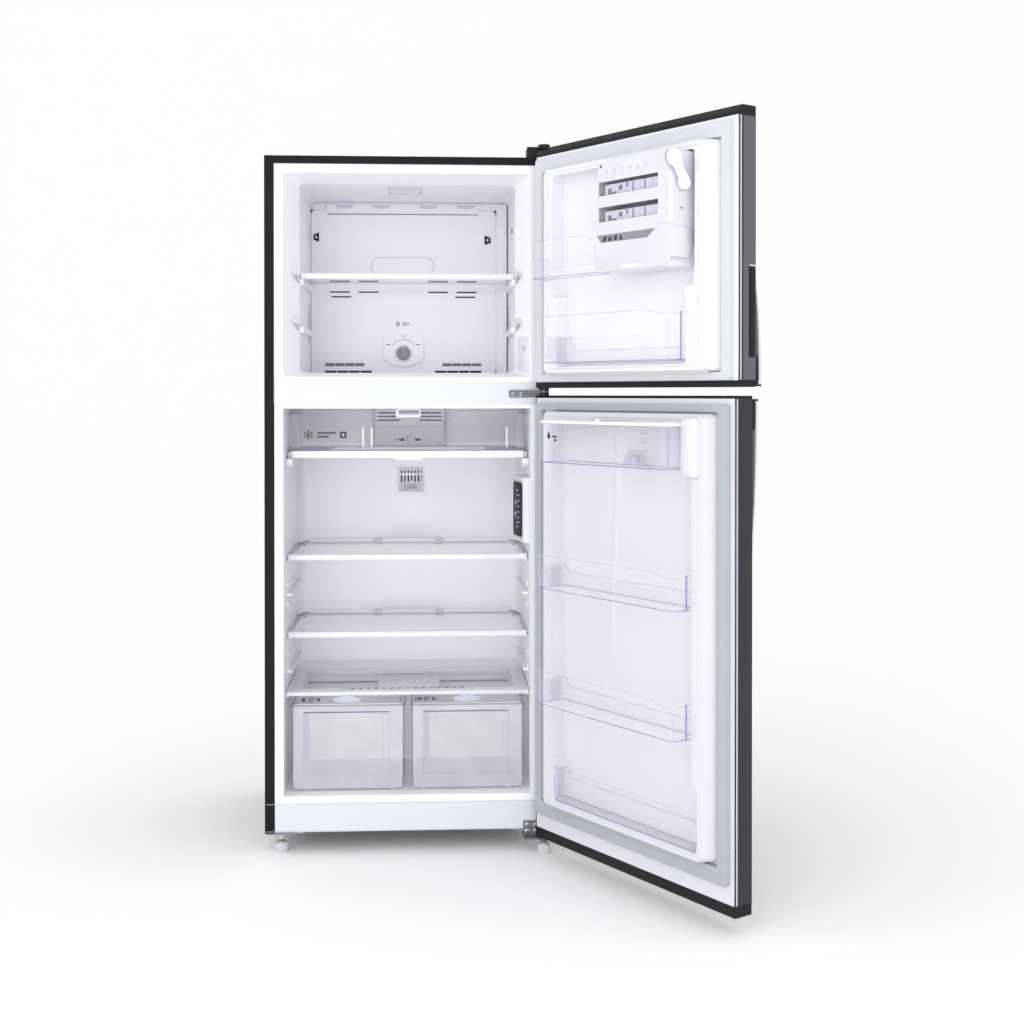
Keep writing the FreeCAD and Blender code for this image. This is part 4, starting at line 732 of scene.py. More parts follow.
freezer_inside()
fridge_inside()


# ---------------------------------------------------------------- drawers
# radius and (inset from the side, distance behind the front, height) of the crispers' front edges
CRISPER_EDGES = (
    (0.5, [(3.4, 45.6, 332), (3.8, 45.8, 170), (7, 46.4, 146), (14, 46.4, 142.5)]),
    (0.8, [(1, 46, 332), (2, 45, 349), (5.5, 42.6, 354)]),
    (1.3, [(8, 42, 354), (11, 41.4, 371)]),
)


def chiller():
    """Clear chiller drawer with side channels, a front rail and a finger dip."""
    def dip(x, y):
        """Finger dip in the middle of the front edge."""
        return 15 * min(1.0, max(0.0, (126 - abs(x)) / 24)) if y < 90 else 0.0

    tub("chiller_body", "chiller_drawer", -292, 292, 84, 392, 972.5, 1071, ("chiller_drawer",), "near",
        corner=14, front=14, foot=4, step=0.12, sink=dip, marks=(166, 190))
    lines = [tube([(-284, 83.4, z), (284, 83.4, z)], 0.55, 6) for z in (977.2, 981.2)]
    piece("chiller_lines", "violet", lines, "chiller_drawer")
    columns = []
    for side in SIDES:
        columns.append(skin([[(side * 268, 84.6, z), (side * 289, 84.6, z)] for z in (977, 1066)]))
        for x, y, radius in ((side * 268, 84.2, 0.4), (side * 290, 87, 0.5)):
            columns.append(tube([(x, y, 978), (x, y, 1066)], radius, 6))
    piece("chiller_columns", "clear_edge", columns, "chiller_drawer")
    ribs = [skin([[(x, 96, z), (x, 380, z)] for z in (978, 1030)]) for x in (-112, 248)]
    ribs.append(skin([[(106, 300, z), (226, 300, z)] for z in (978, 1030)]))
    piece("chiller_dividers", "clear", ribs, "chiller_drawer")
    posts = [block("y", x, x + 3.4, 979, 1030, 94, 95.4, 1) for x in (-113, -92, 245)]
    piece("chiller_divider_ends", "liner", posts, "chiller_drawer")
    rails = [block("x", 88, 388, 1060, 1066, *span(side, 292.2, 294.2)) for side in SIDES]
    piece("chiller_rails", "clear_edge", rails, "chiller_drawer", 0.5)
    words = [rect(-224, -178, 1015, 1019, 1.4), rect(-224, -196, 1005.5, 1009.5, 1.4),
        rect(-168, -152, 1004, 1020, 2.5)]
    printed("chiller_mark", flake(-246, 1012, 12) + words, 83.3, body="chiller_drawer")
    cross = [rect(-164, -156, 1011, 1013, 0.6), rect(-161, -159, 1008, 1016, 0.6)]
    printed("chiller_mark_hole", cross, 83.0, "trim", body="chiller_drawer")
    printed("damper_dots", [ellipse(-6, z, 2.1, 2.1, 14) for z in (994.4, 983.6)], 423.1,
        body="damper_slider")
    printed("damper_lines", [rect(-42, -18, 988.4, 989.6), rect(18, 30, 988.4, 989.6)], 429.6, "shadow")
    piece("duct_front_panel", "trim", frame_shape(
        "y", rect(-94, 94, 972, 1026, 5), rect(-90, 90, 976, 1022, 4), 428.6, 430.4), bevel=0.4)


def crisper(name, left, right):
    """Clear vegetable drawer with a leaning grip band and a moulded front frame."""
    tub(name + "_body", name, left, right, 46, 344, 141, 348, (name,), "near",
        corner=14, front=16, foot=6, step=0.2)
    middle = (left + right) / 2
    band = [(1, 46.5, 347), (4, 43.5, 353), (7, 41.8, 370), (8, 44, 373)]
    piece(name + "_band", "clear", skin([[(left + t, y, z), (right - t, y, z)] for t, y, z in band]), name)
    # painted light: a pale half-opaque veil over the drawer front lightens the shaded inside
    veil = [[(x, 46.3, z) for x in (left + 5, right - 5)] for z in (143, 346)]
    piece(name + "_front_light_veil", "painted_light_veil", skin(veil), name)
    edge = []
    for x, sign in ((left, 1), (right, -1)):
        for radius, path in CRISPER_EDGES:
            edge.append(tube([(x + sign * inset, y, z) for inset, y, z in path], radius, 6))
    piece(name + "_edges", "violet", edge, name)
    piece(name + "_rule", "violet", [block("y", left + 30, right - 38, 329.5, 332.4, 44.6, 45.0, 1),
        block("y", left + 31, right - 39, 330.0, 332.0, 44.2, 44.5, 0.8)], name)
    pale = [
        sheet(rect(left + 28, right - 36, 176, 332, 8), rect(left + 30, right - 38, 178, 330, 7), 45.6),
        sheet(rect(left + 44, right - 52, 212, 318, 8), rect(left + 45.4, right - 53.4, 213.4, 316.6, 7),
            45.8),
        skin([[(left + 30, 45.7, z), (left + 44, 45.7, z)] for z in (214, 329)]),
    ]
    piece(name + "_front_frame", "clear_edge", pale, name)
    # painted highlight: a bright white line along the shoulder of the clear front
    piece(name + "_shoulder_highlight", "lit_trim", tube([(left + 8, 44.8, 351), (right - 8, 44.8, 351)], 0.7, 6), name)
    lug_x = middle - 2
    lug = []
    for i in range(32):
        across, up = math.cos(2 * math.pi * i / 32), math.sin(2 * math.pi * i / 32)
        lug.append((lug_x + 34 * across, 363 + 8.5 * up * (1.25 if abs(across) < 0.45 and up > 0 else 0.9)))
    printed(name + "_grip", [lug], 41.0, "grip", 0.8, body=name)
    hump = [(lug_x + 12 * math.cos(t), 361.5 + 5 * math.sin(t))
        for t in (math.pi * i / 12 for i in range(13))]
    printed(name + "_grip_hump", [hump], 40.5, "lens", 0.6, body=name)
    start = left + (26 if left < 0 else 14)
    icon = fruit(start + 5, 363, 6.5) if left < 0 else leaf(start + 5, 363, 8)
    printed(name + "_mark", icon + [
        rect(start + 16, start + 34, 364.5, 366.7, 0.8), rect(start + 16, start + 28, 359.5, 361.7, 0.8),
        rect(start + 38, start + 45, 359.5, 366.7, 1.2),
    ], 41.3, body=name)
    floor = [skin([[(x, 54, 143.5), (x, 336, 143.5)] for x in (left + 9, right - 9)])]
    floor += [tube([(x, 60, 144.5), (x, 330, 144.5)], 0.5, 6) for x in (left + 62, right - 60)]
    piece(name + "_floor", "clear", floor, name)
    guides = [block("x", 60, 336, 340, 345, *sorted((x, x + sign * 1.6)), 2)
        for x, sign in ((left, -1), (right, 1))]
    piece(name + "_guides", "clear_edge", guides, name)


chiller()
crisper("crisper_left", -286, -8)
crisper("crisper_right", 8, 286)


# ---------------------------------------------------------------- bins on the doors
def bin_rim(left, right, near, far, side_fall, back_fall):
    """Rim of a door bin: tall front, lower hinge end and still lower back."""
    def fall(x, y):
        """Drop of the rim at a place on its plan."""
        if y > far - 1:
            return 10.0 if x < left + 34 else 0.0
        if y < near + 1 and left + 14 < x < right - 20:
            return back_fall
        if x < (left + right) / 2:
            return 10.0 if y > near + 14 else 2.0
        return side_fall * min(1.0, (far - y) / 14)
    return fall


def door_bins():
    """Clear bins on both doors."""
    bins = (
        ("freezer_small_bin", "freezer_door", 8, 256, 24, 74, 1380, 1468, ("freezer_small_bin",), 40, 60),
        ("freezer_large_bin", "freezer_door", -224, 212, -10, 74, 1184, 1292, ("freezer_large_bin",), 46,
            78),
        ("door_bin_upper", "fridge_door", -251, 230, -10, 74, 662, 742, ("door_bins",), 28, 47),
        ("door_bin_lower", "fridge_door", -251, 230, -10, 74, 393, 473, (), 28, 47),
        ("bottom_bin", "fridge_door", -269, 220, -10, 34, 165, 243, ("bottom_bin",), 8, 30),
    )
    for name, body, left, right, near, far, low, high, nodes, side_fall, back_fall in bins:
        tub(name + "_body", body, left, right, near, far, low, high, nodes, marks=(24, 66),
            sink=bin_rim(left, right, near, far, side_fall, back_fall))
        strip = [
            block("x", far - 41, far - 37, low + 2, high - 4, left - 0.4, left + 0.8, 1.5),
            block("x", far - 41.5, far - 25, low + 1, low + 3, left - 0.4, left + 0.8, 1),
        ]
        piece(name + "_end_rib", "violet", strip, body)
        tall = high - low
        paths = [[(x, far - 3.0, low + 6), (x, far - 1.4, low + 0.48 * tall)]
            for x in (right - 30, right - 56)]
        paths.append([(x, far - 1.2, low + 0.5 * tall) for x in (left + 22, right - 22)])
        lines = [tube(path, 0.35, 6) for path in paths]
        ends = (low + 5, high - side_fall - 4)
        lines.append(skin([[(right - 4, y, z) for y in (far - 16, near + 8)] for z in ends]))
        piece(name + "_lines", "clear_edge", lines, body)
    dots = [ellipse(-196 + 9 * i, low + 3, 1.5, 1.5, 10) for low in (662, 393) for i in range(26)]
    printed("door_bin_grip_dots", dots, 72.4, "violet", 1.0, "fridge_door")


def water_tank():
    """Clear tank with its white bowed lid, level marks and tap."""
    tub("water_tank_body", "fridge_door", -236, 214, -9, 74, 955, 1046, ("water_tank",),
        corner=12, front=12, foot=4, step=0.16)
    lines = [tube([(-212, 73.6, 956.6), (206, 73.6, 956.6)], 1.0, 6),
        tube([(-233, 70, 960), (-233, 70, 1044)], 0.5, 6)]
    piece("water_tank_lines", "violet", lines, "fridge_door")
    inner = [skin([[(a, 70, z), (b, 70, z)] for z in (960, 1044)]) for a, b in ((146, 184), (-230, -206))]
    inner.append(skin([[(-234.6, y, z) for y in (20, 70)] for z in (962, 1044)]))
    piece("water_tank_inner_walls", "clear_edge", inner, "fridge_door")
    ends = ((-170, -156), (-152, -147))
    levels = [rect(a, b, z, z + 1.6, 0.7) for z in (1030, 1012, 992) for a, b in ends]
    printed("water_level_marks", levels, 72.2, "knob", body="fridge_door")
    words = [rect(146, 162, 1014, 1018, 1.2), rect(146, 156, 1006, 1010, 1.2)]
    printed("water_mark", drop(176, 1016, 9) + words, 73.4, body="fridge_door")
    dome = [(30, 958), (30, 961), (25, 963), (23, 972), (19, 984), (11, 991), (0, 992.5)]
    piece("tank_tap", "clear_edge", lathe(dome, (-80, 32), "z", 28), "fridge_door")
    knob = [(12, 964), (12, 976), (8, 981), (0, 982)]
    piece("tank_tap_core", "grip", lathe(knob, (-80, 32), "z", 24), "fridge_door")
    lid = []
    for z, grow in ((1046.6, 0), (1050.6, 0.8), (1052.2, 0.2), (1053.0, -2.5)):
        loop = [(-238 - grow, 0), (-238 - grow, 60)]
        loop += [(-228 + 434 * i / 12, 74 + grow * 0.5) for i in range(13)]
        loop += [(216 + grow, 60), (216 + grow, 0)]
        loop += [(206 - 434 * i / 12, -4 - grow * 0.3 + 44 * math.sin(math.pi * i / 12) ** 1.4)
            for i in range(13)]
        lid.append([(x, y, z) for x, y in loop])
    piece("tank_lid_cover", "lit_trim", loft(lid), "fridge_door", replaces=("tank_lid",))
    piece("tank_lid_floor", "liner_shade", block("z", -232, 210, -6, 66, 1046.4, 1047.6, 6), "fridge_door")
    tab = [(7, 1050), (7, 1055.4), (6, 1057), (0, 1057.4)]
    piece("tank_lid_tab", "lit_trim", lathe(tab, (12, 60), "z", 24), "fridge_door")
    piece("tank_lid_flap", "trim", block("z", -236, -116, 16, 64, 1053, 1055.4, 5), "fridge_door", 0.8)
    rings = []
    for grow, off in ((0, 22), (0, 36), (4, 42), (12, 45)):
        loop = rect(-282 + grow, -238.5 - grow * 0.4, 940 + grow, 1066 - grow, 9)
        rings.append([(x, off, z) for x, z in loop])
    piece("tank_side_dike", "door_liner", loft(rings), "fridge_door")


# ---------------------------------------------------------------- ice maker
# left edge, width, bottom and top of the dark shapes seen through a tray's window
TRAY_SHAPES = (
    (-74, 10, -3, 7), (-96, 8, 1, 11), (-54, 14, -9, -5), (-38, 10, -11, 3), (-112, 3, -12, 11),
    (-150, 3, -12, 11),
)


def ice_maker():
    """Window rims, printed icons, screws, bin front and lever on the twist ice maker."""
    rims = []
    for low, high in ((1546, 1576), (1489, 1521)):
        rims.append(frame_shape("y", rect(-202, -2, low - 2, high + 2, 3), rect(-200, -4, low, high, 2), 76,
            78))
    piece("ice_window_rims", "trim", rims, "freezer_door", 0.6)
    for name, body, z in (("upper_tray", "ice_lever", 1558), ("lower_tray", "ice_tray_lower", 1500)):
        cells = [block("y", -214, -20, z - 13, z + 12, 67.6, 68.6, 2)]
        cells += [block("y", -210 + 38 * i, -208 + 38 * i, z - 10, z + 11, 68.6, 69.6) for i in range(6)]
        piece(name + "_front", "liner_shade", cells, body)
        dark = [block("y", x, x + w, z + a, z + b, 68.8, 69.3, 1) for x, w, a, b in TRAY_SHAPES]
        piece(name + "_shapes", "shadow", dark, body)
    front = [
        (4, 1466), (1, 1461), (-14, 1443.5), (-168, 1443.5), (-194, 1461), (-199, 1466), (-238, 1468),
        (-240.5, 1464), (-240.5, 1398), (-234, 1386), (-222, 1381), (-24, 1381), (0, 1388), (6, 1398),
        (6, 1462),
    ]
    piece("ice_bin_front", "door_liner", prism("y", front, 77.3, 79.8), "ice_bin", 1.0)
    # painted shade: a grey plate with dark shapes stands for the shaded view into the ice bin through its
    # window
    window = [(0, 1460.6), (-14, 1443.9), (-168, 1443.9), (-193, 1460.6)]
    piece("ice_bin_window_shade", "knob", prism("y", window, 77.05, 77.25), "freezer_door")
    shapes = []
    for i in range(4):
        x = -18 - 19 * i
        shapes.append([(x, 1446), (x - 10, 1446), (-33 - 17 * i, 1457 - i % 2 * 4), (x - 2, 1456)])
    piece("ice_bin_window_shade_shapes", "board", [prism("y", o, 77.25, 77.28) for o in shapes], "freezer_door")
    side_plate = [(79, 1398), (79, 1464), (20, 1460), (14, 1432), (30, 1398)]
    piece("ice_bin_side", "door_liner", prism("x", side_plate, -240.6, -238.6), "ice_bin", 0.8)
    icons = []
    for i, x in enumerate((-32, -58, -84, -110, -136, -160)):
        icons += [rect(x - 5, x + 5, 1590, 1602, 2.5 if i % 2 else 4.5), bar(x - 6, 1586, x + 6, 1586, 1.4)]
    printed("ice_icons", icons, 76.7, "liner_shade", body="freezer_door")
    head = [(3.6, 77.2), (3.6, 77.8), (2.6, 78.6), (0, 78.8)]
    screws = [lathe(head, place) for place in ((-12, 1611), (-226, 1606))]
    piece("ice_maker_screws", "shadow", screws, "freezer_door")
    # painted shade: dark strips on the pocket wall for the shade in the gap at the housing's end
    slit = [block("x", 16, 24, z, z + 54, -252.8, -251.6, 2) for z in (1430, 1490, 1552)]
    slit += [block("x", 19, 21.5, 1428, 1612, -252.9, -252.2, 1)]
    piece("ice_maker_side_gap_shade", "board", slit, "freezer_door")
    base, tip = Vector((46, 1552)), Vector((74, 1602))
    angle = math.atan2((tip - base).y, (tip - base).x)
    outline_points = []
    for centre, radius, start in ((tip, 17.5, -90), (base, 14.5, 90)):
        for i in range(15):
            t = angle + math.radians(start + 180 * i / 14)
            outline_points.append((centre.x + radius * math.cos(t), centre.y + radius * math.sin(t)))
        t = angle + math.radians(start + 180)
        waist = base.lerp(tip, 0.5) + Vector((math.cos(t), math.sin(t))) * 9.5
        outline_points.append(tuple(waist))
    piece("ice_lever_face", "lit_trim", prism("x", outline_points, -250.4, -245.8), "ice_lever", 1.3)
    centre = base.lerp(tip, 0.5)
    # painted shadow: a shaded outline, a little larger than the lever and shifted down and across, on the
    # housing behind it
    halo = []
    for y, z in outline_points:
        direction = (Vector((y, z)) - centre).normalized()
        halo.append((y + 2.2 * direction.x + 1.5, z + 2.2 * direction.y - 2))
    piece("ice_lever_outline_shadow", "liner_shade", prism("x", halo, -238.9, -238.0), "freezer_door")
    piece("ice_bin_grip", "lit_trim", block("y", -150, -84, 1384, 1390, 79.6, 81.4, 2.5), "ice_bin", 0.8)
    runners = [block("x", -6, 68, 1431.5, 1434, *sorted((x, x + 3))) for x in (-235, -2)]
    piece("ice_bin_runners", "trim", runners, "freezer_door", 0.4)


# ---------------------------------------------------------------- door edges, seals and handles
EDGE_FACE = (344.6, 345.15)
SEAL_Y, DOOR_FACE, PANEL_Y = -1.8, -61.6, 24.0
HANDLE_X = (-342.4, -317)


def door_edges():
    """Stripes on the free edges with a painted highlight and painted shade of their bend, seals, panel
    beads, grip pocket and handle feet.
    """
    # painted light on the flat free edges: a black gap line, a light line for the bend's highlight, a dark
    # line for its shade, then the side paint, which on the freezer is the lighter lit copy
    stripes = (
        ("black", -16.6, -14.3), ("liner_shade", -20.6, -17.0), ("board", -24.0, -21.5),
        ("lit_door_side", -61.4, -26.0),
    )
    seals = {"freezer": ("lit_seal", 1144, 1676, 0.6, 1.0), "fridge": ("seal", 102, 1092, 1.0, 0.6)}
    for door, low, high in (("freezer", 1143, 1684), ("fridge", 65, 1103)):
        for i, (look, start, end) in enumerate(stripes):
            use = "door_side" if look == "lit_door_side" and door == "fridge" else look
            shape = [block("x", start, end, low, high, *span(side, *EDGE_FACE), 0.8) for side in SIDES]
            piece(f"{door}_edge_shading_stripe_{i + 1}", use, shape, f"{door}_door")
        rubber, low, high, under, over = seals[door]
        seal = []
        for inset, thick in ((2.5, 1.2), (9, 0.9), (15, 0.9), (21.5, 1.2)):
            ring = rect(-331 + inset, 331 - inset, low + inset * under, high - inset * over, 5, 5)
            seal.append(tube([(x, SEAL_Y, z) for x, z in ring], thick, 6, closed=True))
        piece(f"{door}_seal_ribs", rubber, seal, f"{door}_door")
    for body, low, high in (("freezer_door", 1163, 1640), ("fridge_door", 145, 1071)):
        door = body.removesuffix("_door")
        ring = [(x, PANEL_Y, z) for x, z in rect(-277, 255, low + 9, high - 9, 9, 5)]
        piece(f"{door}_panel_bead", "door_liner", tube(ring, 1.1, 6, closed=True), body)
        ribs = []
        for x in (-264, 247):
            ribs += [block("y", x - 3, x + 3, z, z + 30, 23.4, 24.4, 3)
                for z in range(low + 40, high - 40, 92)]
        piece(f"{door}_panel_lugs", "door_liner", ribs, body, 0.8)
    section = ((40, -11.2), (64, -11.2), (52, -8.6))
    ridge = [[(x - 26 * s, y, 520 + 520 * s) for x, y in section] for s in (0.0, 0.5, 1.0)]
    ledge = [
        loft([[(x, y, z) for y, z in ((1, 1178), (-3, 1176), (-3, 1172), (1, 1170))] for x in (-262, 244)]),
        tube([(-270, 1.5, 1160), (252, 1.5, 1160)], 1.2, 6),
    ]
    piece("freezer_panel_ledge", "lit_trim", ledge, "freezer_door")
    piece("fridge_panel_swell", "door_liner", loft(ridge), "fridge_door")
    slit = rect(-60, -41, 1189, 1377, 3)
    piece("freezer_grip_pocket", "black", prism("x", slit, -345.5, -344.4), "freezer_door", 0.3)
    piece("freezer_grip_hollow", "black", block("x", -58, -47, 1196, 1368, -345.8, -345.4, 3),
        "freezer_door", 0.2)
    piece("freezer_grip_glint", "silver", block("x", -61, -43, 1376.4, 1379.4, -345.8, -344.4, 1),
        "freezer_door", 0.4)
    for door, low, end, root, tip, foot in (
            ("freezer", 1133, 1192, -72.5, -70.5, 1129.6), ("fridge", 1099, 1040, -73, -71.5, 1099)):
        feet = [
            prism("x", [(DOOR_FACE, low), (root, low), (tip, end), (DOOR_FACE, end)], *HANDLE_X),
            block("x", -80.4, DOOR_FACE, foot, foot + 4, -343, -315.5, 1),
        ]
        piece(f"{door}_handle_foot", "black", feet, f"{door}_door", 0.6)
    for door, base, reach in (("freezer", 1132, 246), ("fridge", 1104, -342)):
        ridge = []
        for i in range(13):
            share = i / 12
            z = base + reach * share
            off = -81.0 + 19.6 * share ** 1.7
            section = ((-341.2, 0), (-337, -0.9), (-319, -0.9), (-314.8, 0), (-314.8, 1.6), (-341.2, 1.6))
            ridge.append([(x, off + deep, z) for x, deep in section])
        piece(f"{door}_handle_face", "silver", loft(ridge), f"{door}_door", 0.3)


def dispenser_front():
    """Trim ring, mark, nozzle, drip slats and paddle ribs of the recess in the door front."""
    ring = frame_shape("y", rect(-91, 71, 777, 965, 21), rect(-87, 67, 781, 961, 18), -76.7, -76.0)
    piece("dispenser_ring", "silver", ring, "fridge_door", 0.2)
    words = [rect(-8, 12, 989, 991.6, 1), rect(-8, 4, 983, 985.6, 1)]
    printed("dispenser_mark", drop(-22, 988, 8) + words, -76.4, "silver", body="fridge_door")
    nozzle = [(5.5, 962), (5.5, 949), (4.2, 946.5), (0, 946.5)]
    piece("dispenser_nozzle", "knob", lathe(nozzle, (-10, -64), "z", 20), "fridge_door")
    slats = [block("z", -79 + 12 * i, -73 + 12 * i, -72, -40, 782, 785, 1) for i in range(12)]
    piece("dispenser_slats", "knob", slats, "fridge_door", 0.4)
    ribs = [block("y", -27, 7, z, z + 2.4, -52.8, -51.9, 1) for z in range(868, 924, 9)]
    piece("dispenser_paddle_ribs", "knob", ribs, "dispenser_lever")


door_bins()
water_tank()
ice_maker()
door_edges()
dispenser_front()


# ---------------------------------------------------------------- outside, hinges, feet and back
HINGE = (331, -28)
ROLLER = (530, 22)
BOTTOM_HINGE_SCREWS = [(x, z) for z in (45, 60) for x in (291, 312)]
MIDDLE_HINGE_SCREWS = [(258, 1113), (278, 1113)]


def hinges_and_feet():
    """Hinge screws, bushes, plugs, cover lines, foot rings and rear rollers."""
    middle_head = [(5.6, -3.1), (5.6, -3.8), (4.2, -4.3), (4.2, -5.9), (3.0, -6.5), (0, -6.6)]
    bottom_head = [(6, -3.1), (6, -3.8), (4.4, -4.2), (4.4, -5.9), (3, -6.5), (0, -6.6)]
    heads = [lathe(middle_head, place) for place in MIDDLE_HINGE_SCREWS]
    heads += [lathe(bottom_head, place) for place in BOTTOM_HINGE_SCREWS]
    piece("hinge_screw_heads", "steel", heads)
    # the screw sockets are dark prints: painted shade in the recesses
    sockets = [prism("y", ellipse(*place, 2.2, 2.2, 6), -6.9, -6.5)
        for place in MIDDLE_HINGE_SCREWS + BOTTOM_HINGE_SCREWS]
    piece("hinge_screw_sockets", "board", sockets)
    bushes = ((8.6, 1121.2, 1124.4), (8.6, 1112.4, 1116.8), (9, 35.2, 38.6))
    piece("hinge_bushes", "black", [lathe([(r, low), (r, high), (4.3, high)], HINGE, "z", 24)
        for r, low, high in bushes])
    arm = [(246, -3), (246, -6), (288, -6), (300, -20), (322, -39), (331, -40), (342, -30), (342, -22),
        (332, -16), (320, -3)]
    piece("middle_hinge_rib", "hinge_steel", prism("z", arm, 1121.1, 1122.6), bevel=0.4)
    piece("hinge_hole_plug", "shell", lathe([(7, 0.2), (7, -1.2), (5.4, -2.4), (0, -2.8)], (-334, 1112)))
    piece("rail_plug", "rail", lathe([(9, 0.6), (9, -0.8), (7, -1.8), (0, -2.0)], (-262, 1113)))
    lines = [block("z", 300, 340, y, y + 1.4, 1715.6, 1716.0) for y in (12, 48)]
    piece("hinge_cover_lines", "board", lines)
    head = [(5.6, 1715.2), (5.6, 1715.5), (4.4, 1715.9), (0, 1716)]
    piece("hinge_cover_screw", "steel", lathe(head, (320, 31), "z", 24))
    for foot, place in (("left_foot", (-307, 20)), ("right_foot", HINGE)):
        ring = lathe([(15.2, 1.2), (16.6, 2.4), (16.6, 4.8), (15.2, 6)], place, "z")
        cap = lathe([(13, 21.8), (12.4, 22.8), (9, 23.2), (6.2, 23.2)], place, "z", 30)
        piece(foot + "_rings", "foot", [ring, cap], foot)
        turns = [23 + 2.4 * i for i in range(3)]
        tread = [lathe([(6.4, z), (7.0, z + 1), (6.4, z + 2)], place, "z", 20) for z in turns]
        piece(foot + "_tread", "copper", tread, foot)
    tyres, hubs = [], []
    for middle in (-290, 290):
        for x in (middle - 6.5, middle + 6.5):
            tyres.append(lathe([(20.5, x - 1), (22.0, x - 0.6), (22.0, x + 0.6), (20.5, x + 1)], ROLLER,
                "x"))
        for y, z in ellipse(*ROLLER, 12.5, 12.5, 6):
            hubs.append(prism("x", ellipse(y, z, 3.4, 3.4, 12), middle - 8.4, middle + 8.4))
    piece("roller_ribs", "black", tyres, "rear_rollers")
    piece("roller_hub_bosses", "knob", hubs, "rear_rollers")


def shell_lines():
    """Seams, flange and rail beads and foot plates on the cabinet's outside."""
    seam = [block("x", *ends, 50, 1688, *span(side, 344.7, 345)) for ends in ((1.2, 2.2), (584, 585.2))
        for side in SIDES]
    piece("shell_seams", "board", seam)
    lip = [
        block("y", -322.6, -321.2, 1088, 1671, -0.5, 0.6), block("y", 321.2, 322.6, 1150, 1671, -0.5, 0.6),
        block("y", -321.4, 321.4, 1670, 1671.4, -0.5, 0.6),
    ]
    piece("flange_bead", "shadow", lip)
    piece("rail_beads", "rail", [block("y", -319, 240, z, z + 1.2, -0.35, 0.4, 0.5)
        for z in (1090.5, 1139)])
    plates = [block("z", -341, -268, -6, 40, 46.4, 48.6, 3), block("z", 268, 290, -4, 40, 46.4, 48.6, 3)]
    piece("foot_plates", "knob", plates, bevel=0.4)
    piece("kick_beads", "liner_shade", [block("y", -342, 342, z, z + 1.0, -0.2, 1.0, 0.4)
        for z in (118, 52)])


def rear_side():
    """Beads, cover screws and rating plate on the back."""
    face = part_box("rear_panel")[1].y / MM - FRONT
    cover_low, cover_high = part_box("rear_cover")
    cover = cover_high.y / MM - FRONT
    low, high = cover_low.z / MM, cover_high.z / MM
    beads = []
    for z in (420, 700, 980, 1260, 1540):
        inner = rect(-284, 284, z + 6, z + 104, 9)
        beads.append(frame_shape("y", rect(-290, 290, z, z + 110, 12), inner, face - 0.4, face + 0.9))
    piece("rear_panel_beads", "steel", beads)
    head = [(4.6, cover - 0.6), (4.6, cover + 0.6), (3.2, cover + 1.2), (0, cover + 1.4)]
    screws = [lathe(head, (x, z)) for x in (-318.5, -156.8, 156.8, 318.5) for z in (low + 12, high - 10)]
    piece("rear_cover_screws", "steel", screws)
    piece("rating_plate", "silver", block("y", 150, 270, 1380, 1460, face - 0.4, face + 0.4, 3))
    rows = [rect(158, 262 - 14 * (i % 3), 1450 - 9 * i - 3, 1450 - 9 * i, 0.8) for i in range(8)]
    printed("rating_plate_lines", rows, face, thick=0.6)


hinges_and_feet()
shell_lines()
rear_side()


# ---------------------------------------------------------------- stage, camera, light
FLOOR_NEAR, FLOOR_FAR, FLOOR_HALF, FLOOR_TOP = -9, 6, 12, 12.0
SWEEP, SWEEP_STEPS = 3, 12
CAMERA_PLACE, CAMERA_YAW, CAMERA_PITCH = (0.0519, -3.8409, 1.1143), 3.27, -0.47
CAMERA_LENS, CAMERA_SHIFT = 51.18, -0.1039
# name, place, target, size and power of each soft light
LIGHTS = (
    ("key", (-1.6, -4.2, 2.6), (0.1, 0, 0.9), (2.6, 2.2), 30),
    ("fill", (1.9, -4.6, 1.5), (0.2, 0, 0.9), (2.4, 2.6), 15),
    ("low", (-0.3, -4.4, 0.5), (-0.05, 0, 0.35), (2.4, 0.8), 26),
)


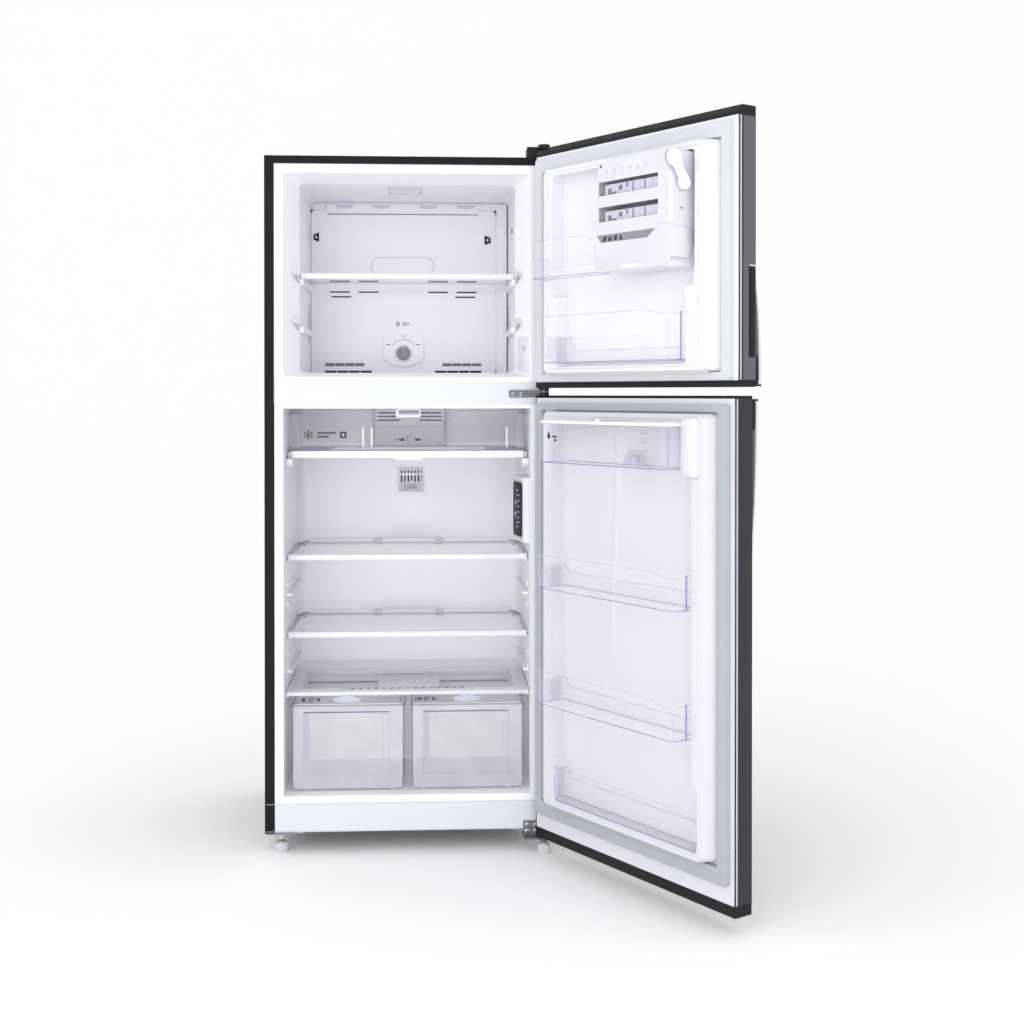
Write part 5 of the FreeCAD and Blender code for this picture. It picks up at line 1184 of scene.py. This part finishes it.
def stage():
    """Plain pale floor that curves up far behind the object."""
    mesh = bpy.data.meshes.new("floor")
    rows = [(FLOOR_NEAR, 0.0), (FLOOR_FAR, 0.0)]
    for i in range(1, SWEEP_STEPS + 1):
        turn = math.pi / 2 * i / SWEEP_STEPS
        rows.append((FLOOR_FAR + SWEEP * math.sin(turn), SWEEP - SWEEP * math.cos(turn)))
    rows.append((FLOOR_FAR + SWEEP, FLOOR_TOP))
    vertices = [(x, y, z) for y, z in rows for x in (-FLOOR_HALF, FLOOR_HALF)]
    faces = [(2 * i, 2 * i + 1, 2 * i + 3, 2 * i + 2) for i in range(len(rows) - 1)]
    mesh.from_pydata(vertices, [], faces)
    for polygon in mesh.polygons:
        polygon.use_smooth = True
    floor = bpy.data.objects.new("floor", mesh)
    bpy.context.scene.collection.objects.link(floor)
    shader = painted("floor_paper", (0.98, 0.98, 0.98, 1), 0.004, 0.9, 0.00005, 0.004)
    mesh.materials.append(shader.material)


def area_light(name, place, target, size, power):
    """Soft rectangular light aimed at a point."""
    data = bpy.data.lights.new(name, "AREA")
    data.shape = "RECTANGLE"
    data.size, data.size_y = size
    data.energy = power
    light = bpy.data.objects.new(name, data)
    light.location = place
    light.rotation_euler = (Vector(target) - Vector(place)).to_track_quat("-Z", "Y").to_euler()
    bpy.context.scene.collection.objects.link(light)


def studio():
    """Camera at the object's viewing angle and plain soft light."""
    data = bpy.data.cameras.new("camera")
    data.sensor_width = 36
    data.lens = CAMERA_LENS
    data.shift_y = CAMERA_SHIFT
    data.clip_end = 100
    camera = bpy.data.objects.new("camera", data)
    camera.location = CAMERA_PLACE
    camera.rotation_euler = (math.radians(90) + math.radians(CAMERA_PITCH), 0, -math.radians(CAMERA_YAW))
    bpy.context.scene.collection.objects.link(camera)
    bpy.context.scene.camera = camera
    world = bpy.data.worlds.new("studio")
    bpy.context.scene.world = world
    world.use_nodes = True
    background = world.node_tree.nodes["Background"]
    background.inputs["Color"].default_value = (1.0, 1.0, 1.0, 1)
    background.inputs["Strength"].default_value = 1.0
    for light in LIGHTS:
        area_light(*light)
    view = bpy.context.scene.view_settings
    view.view_transform = "Standard"
    view.look = "None"
    view.exposure = 0.0


stage()
studio()
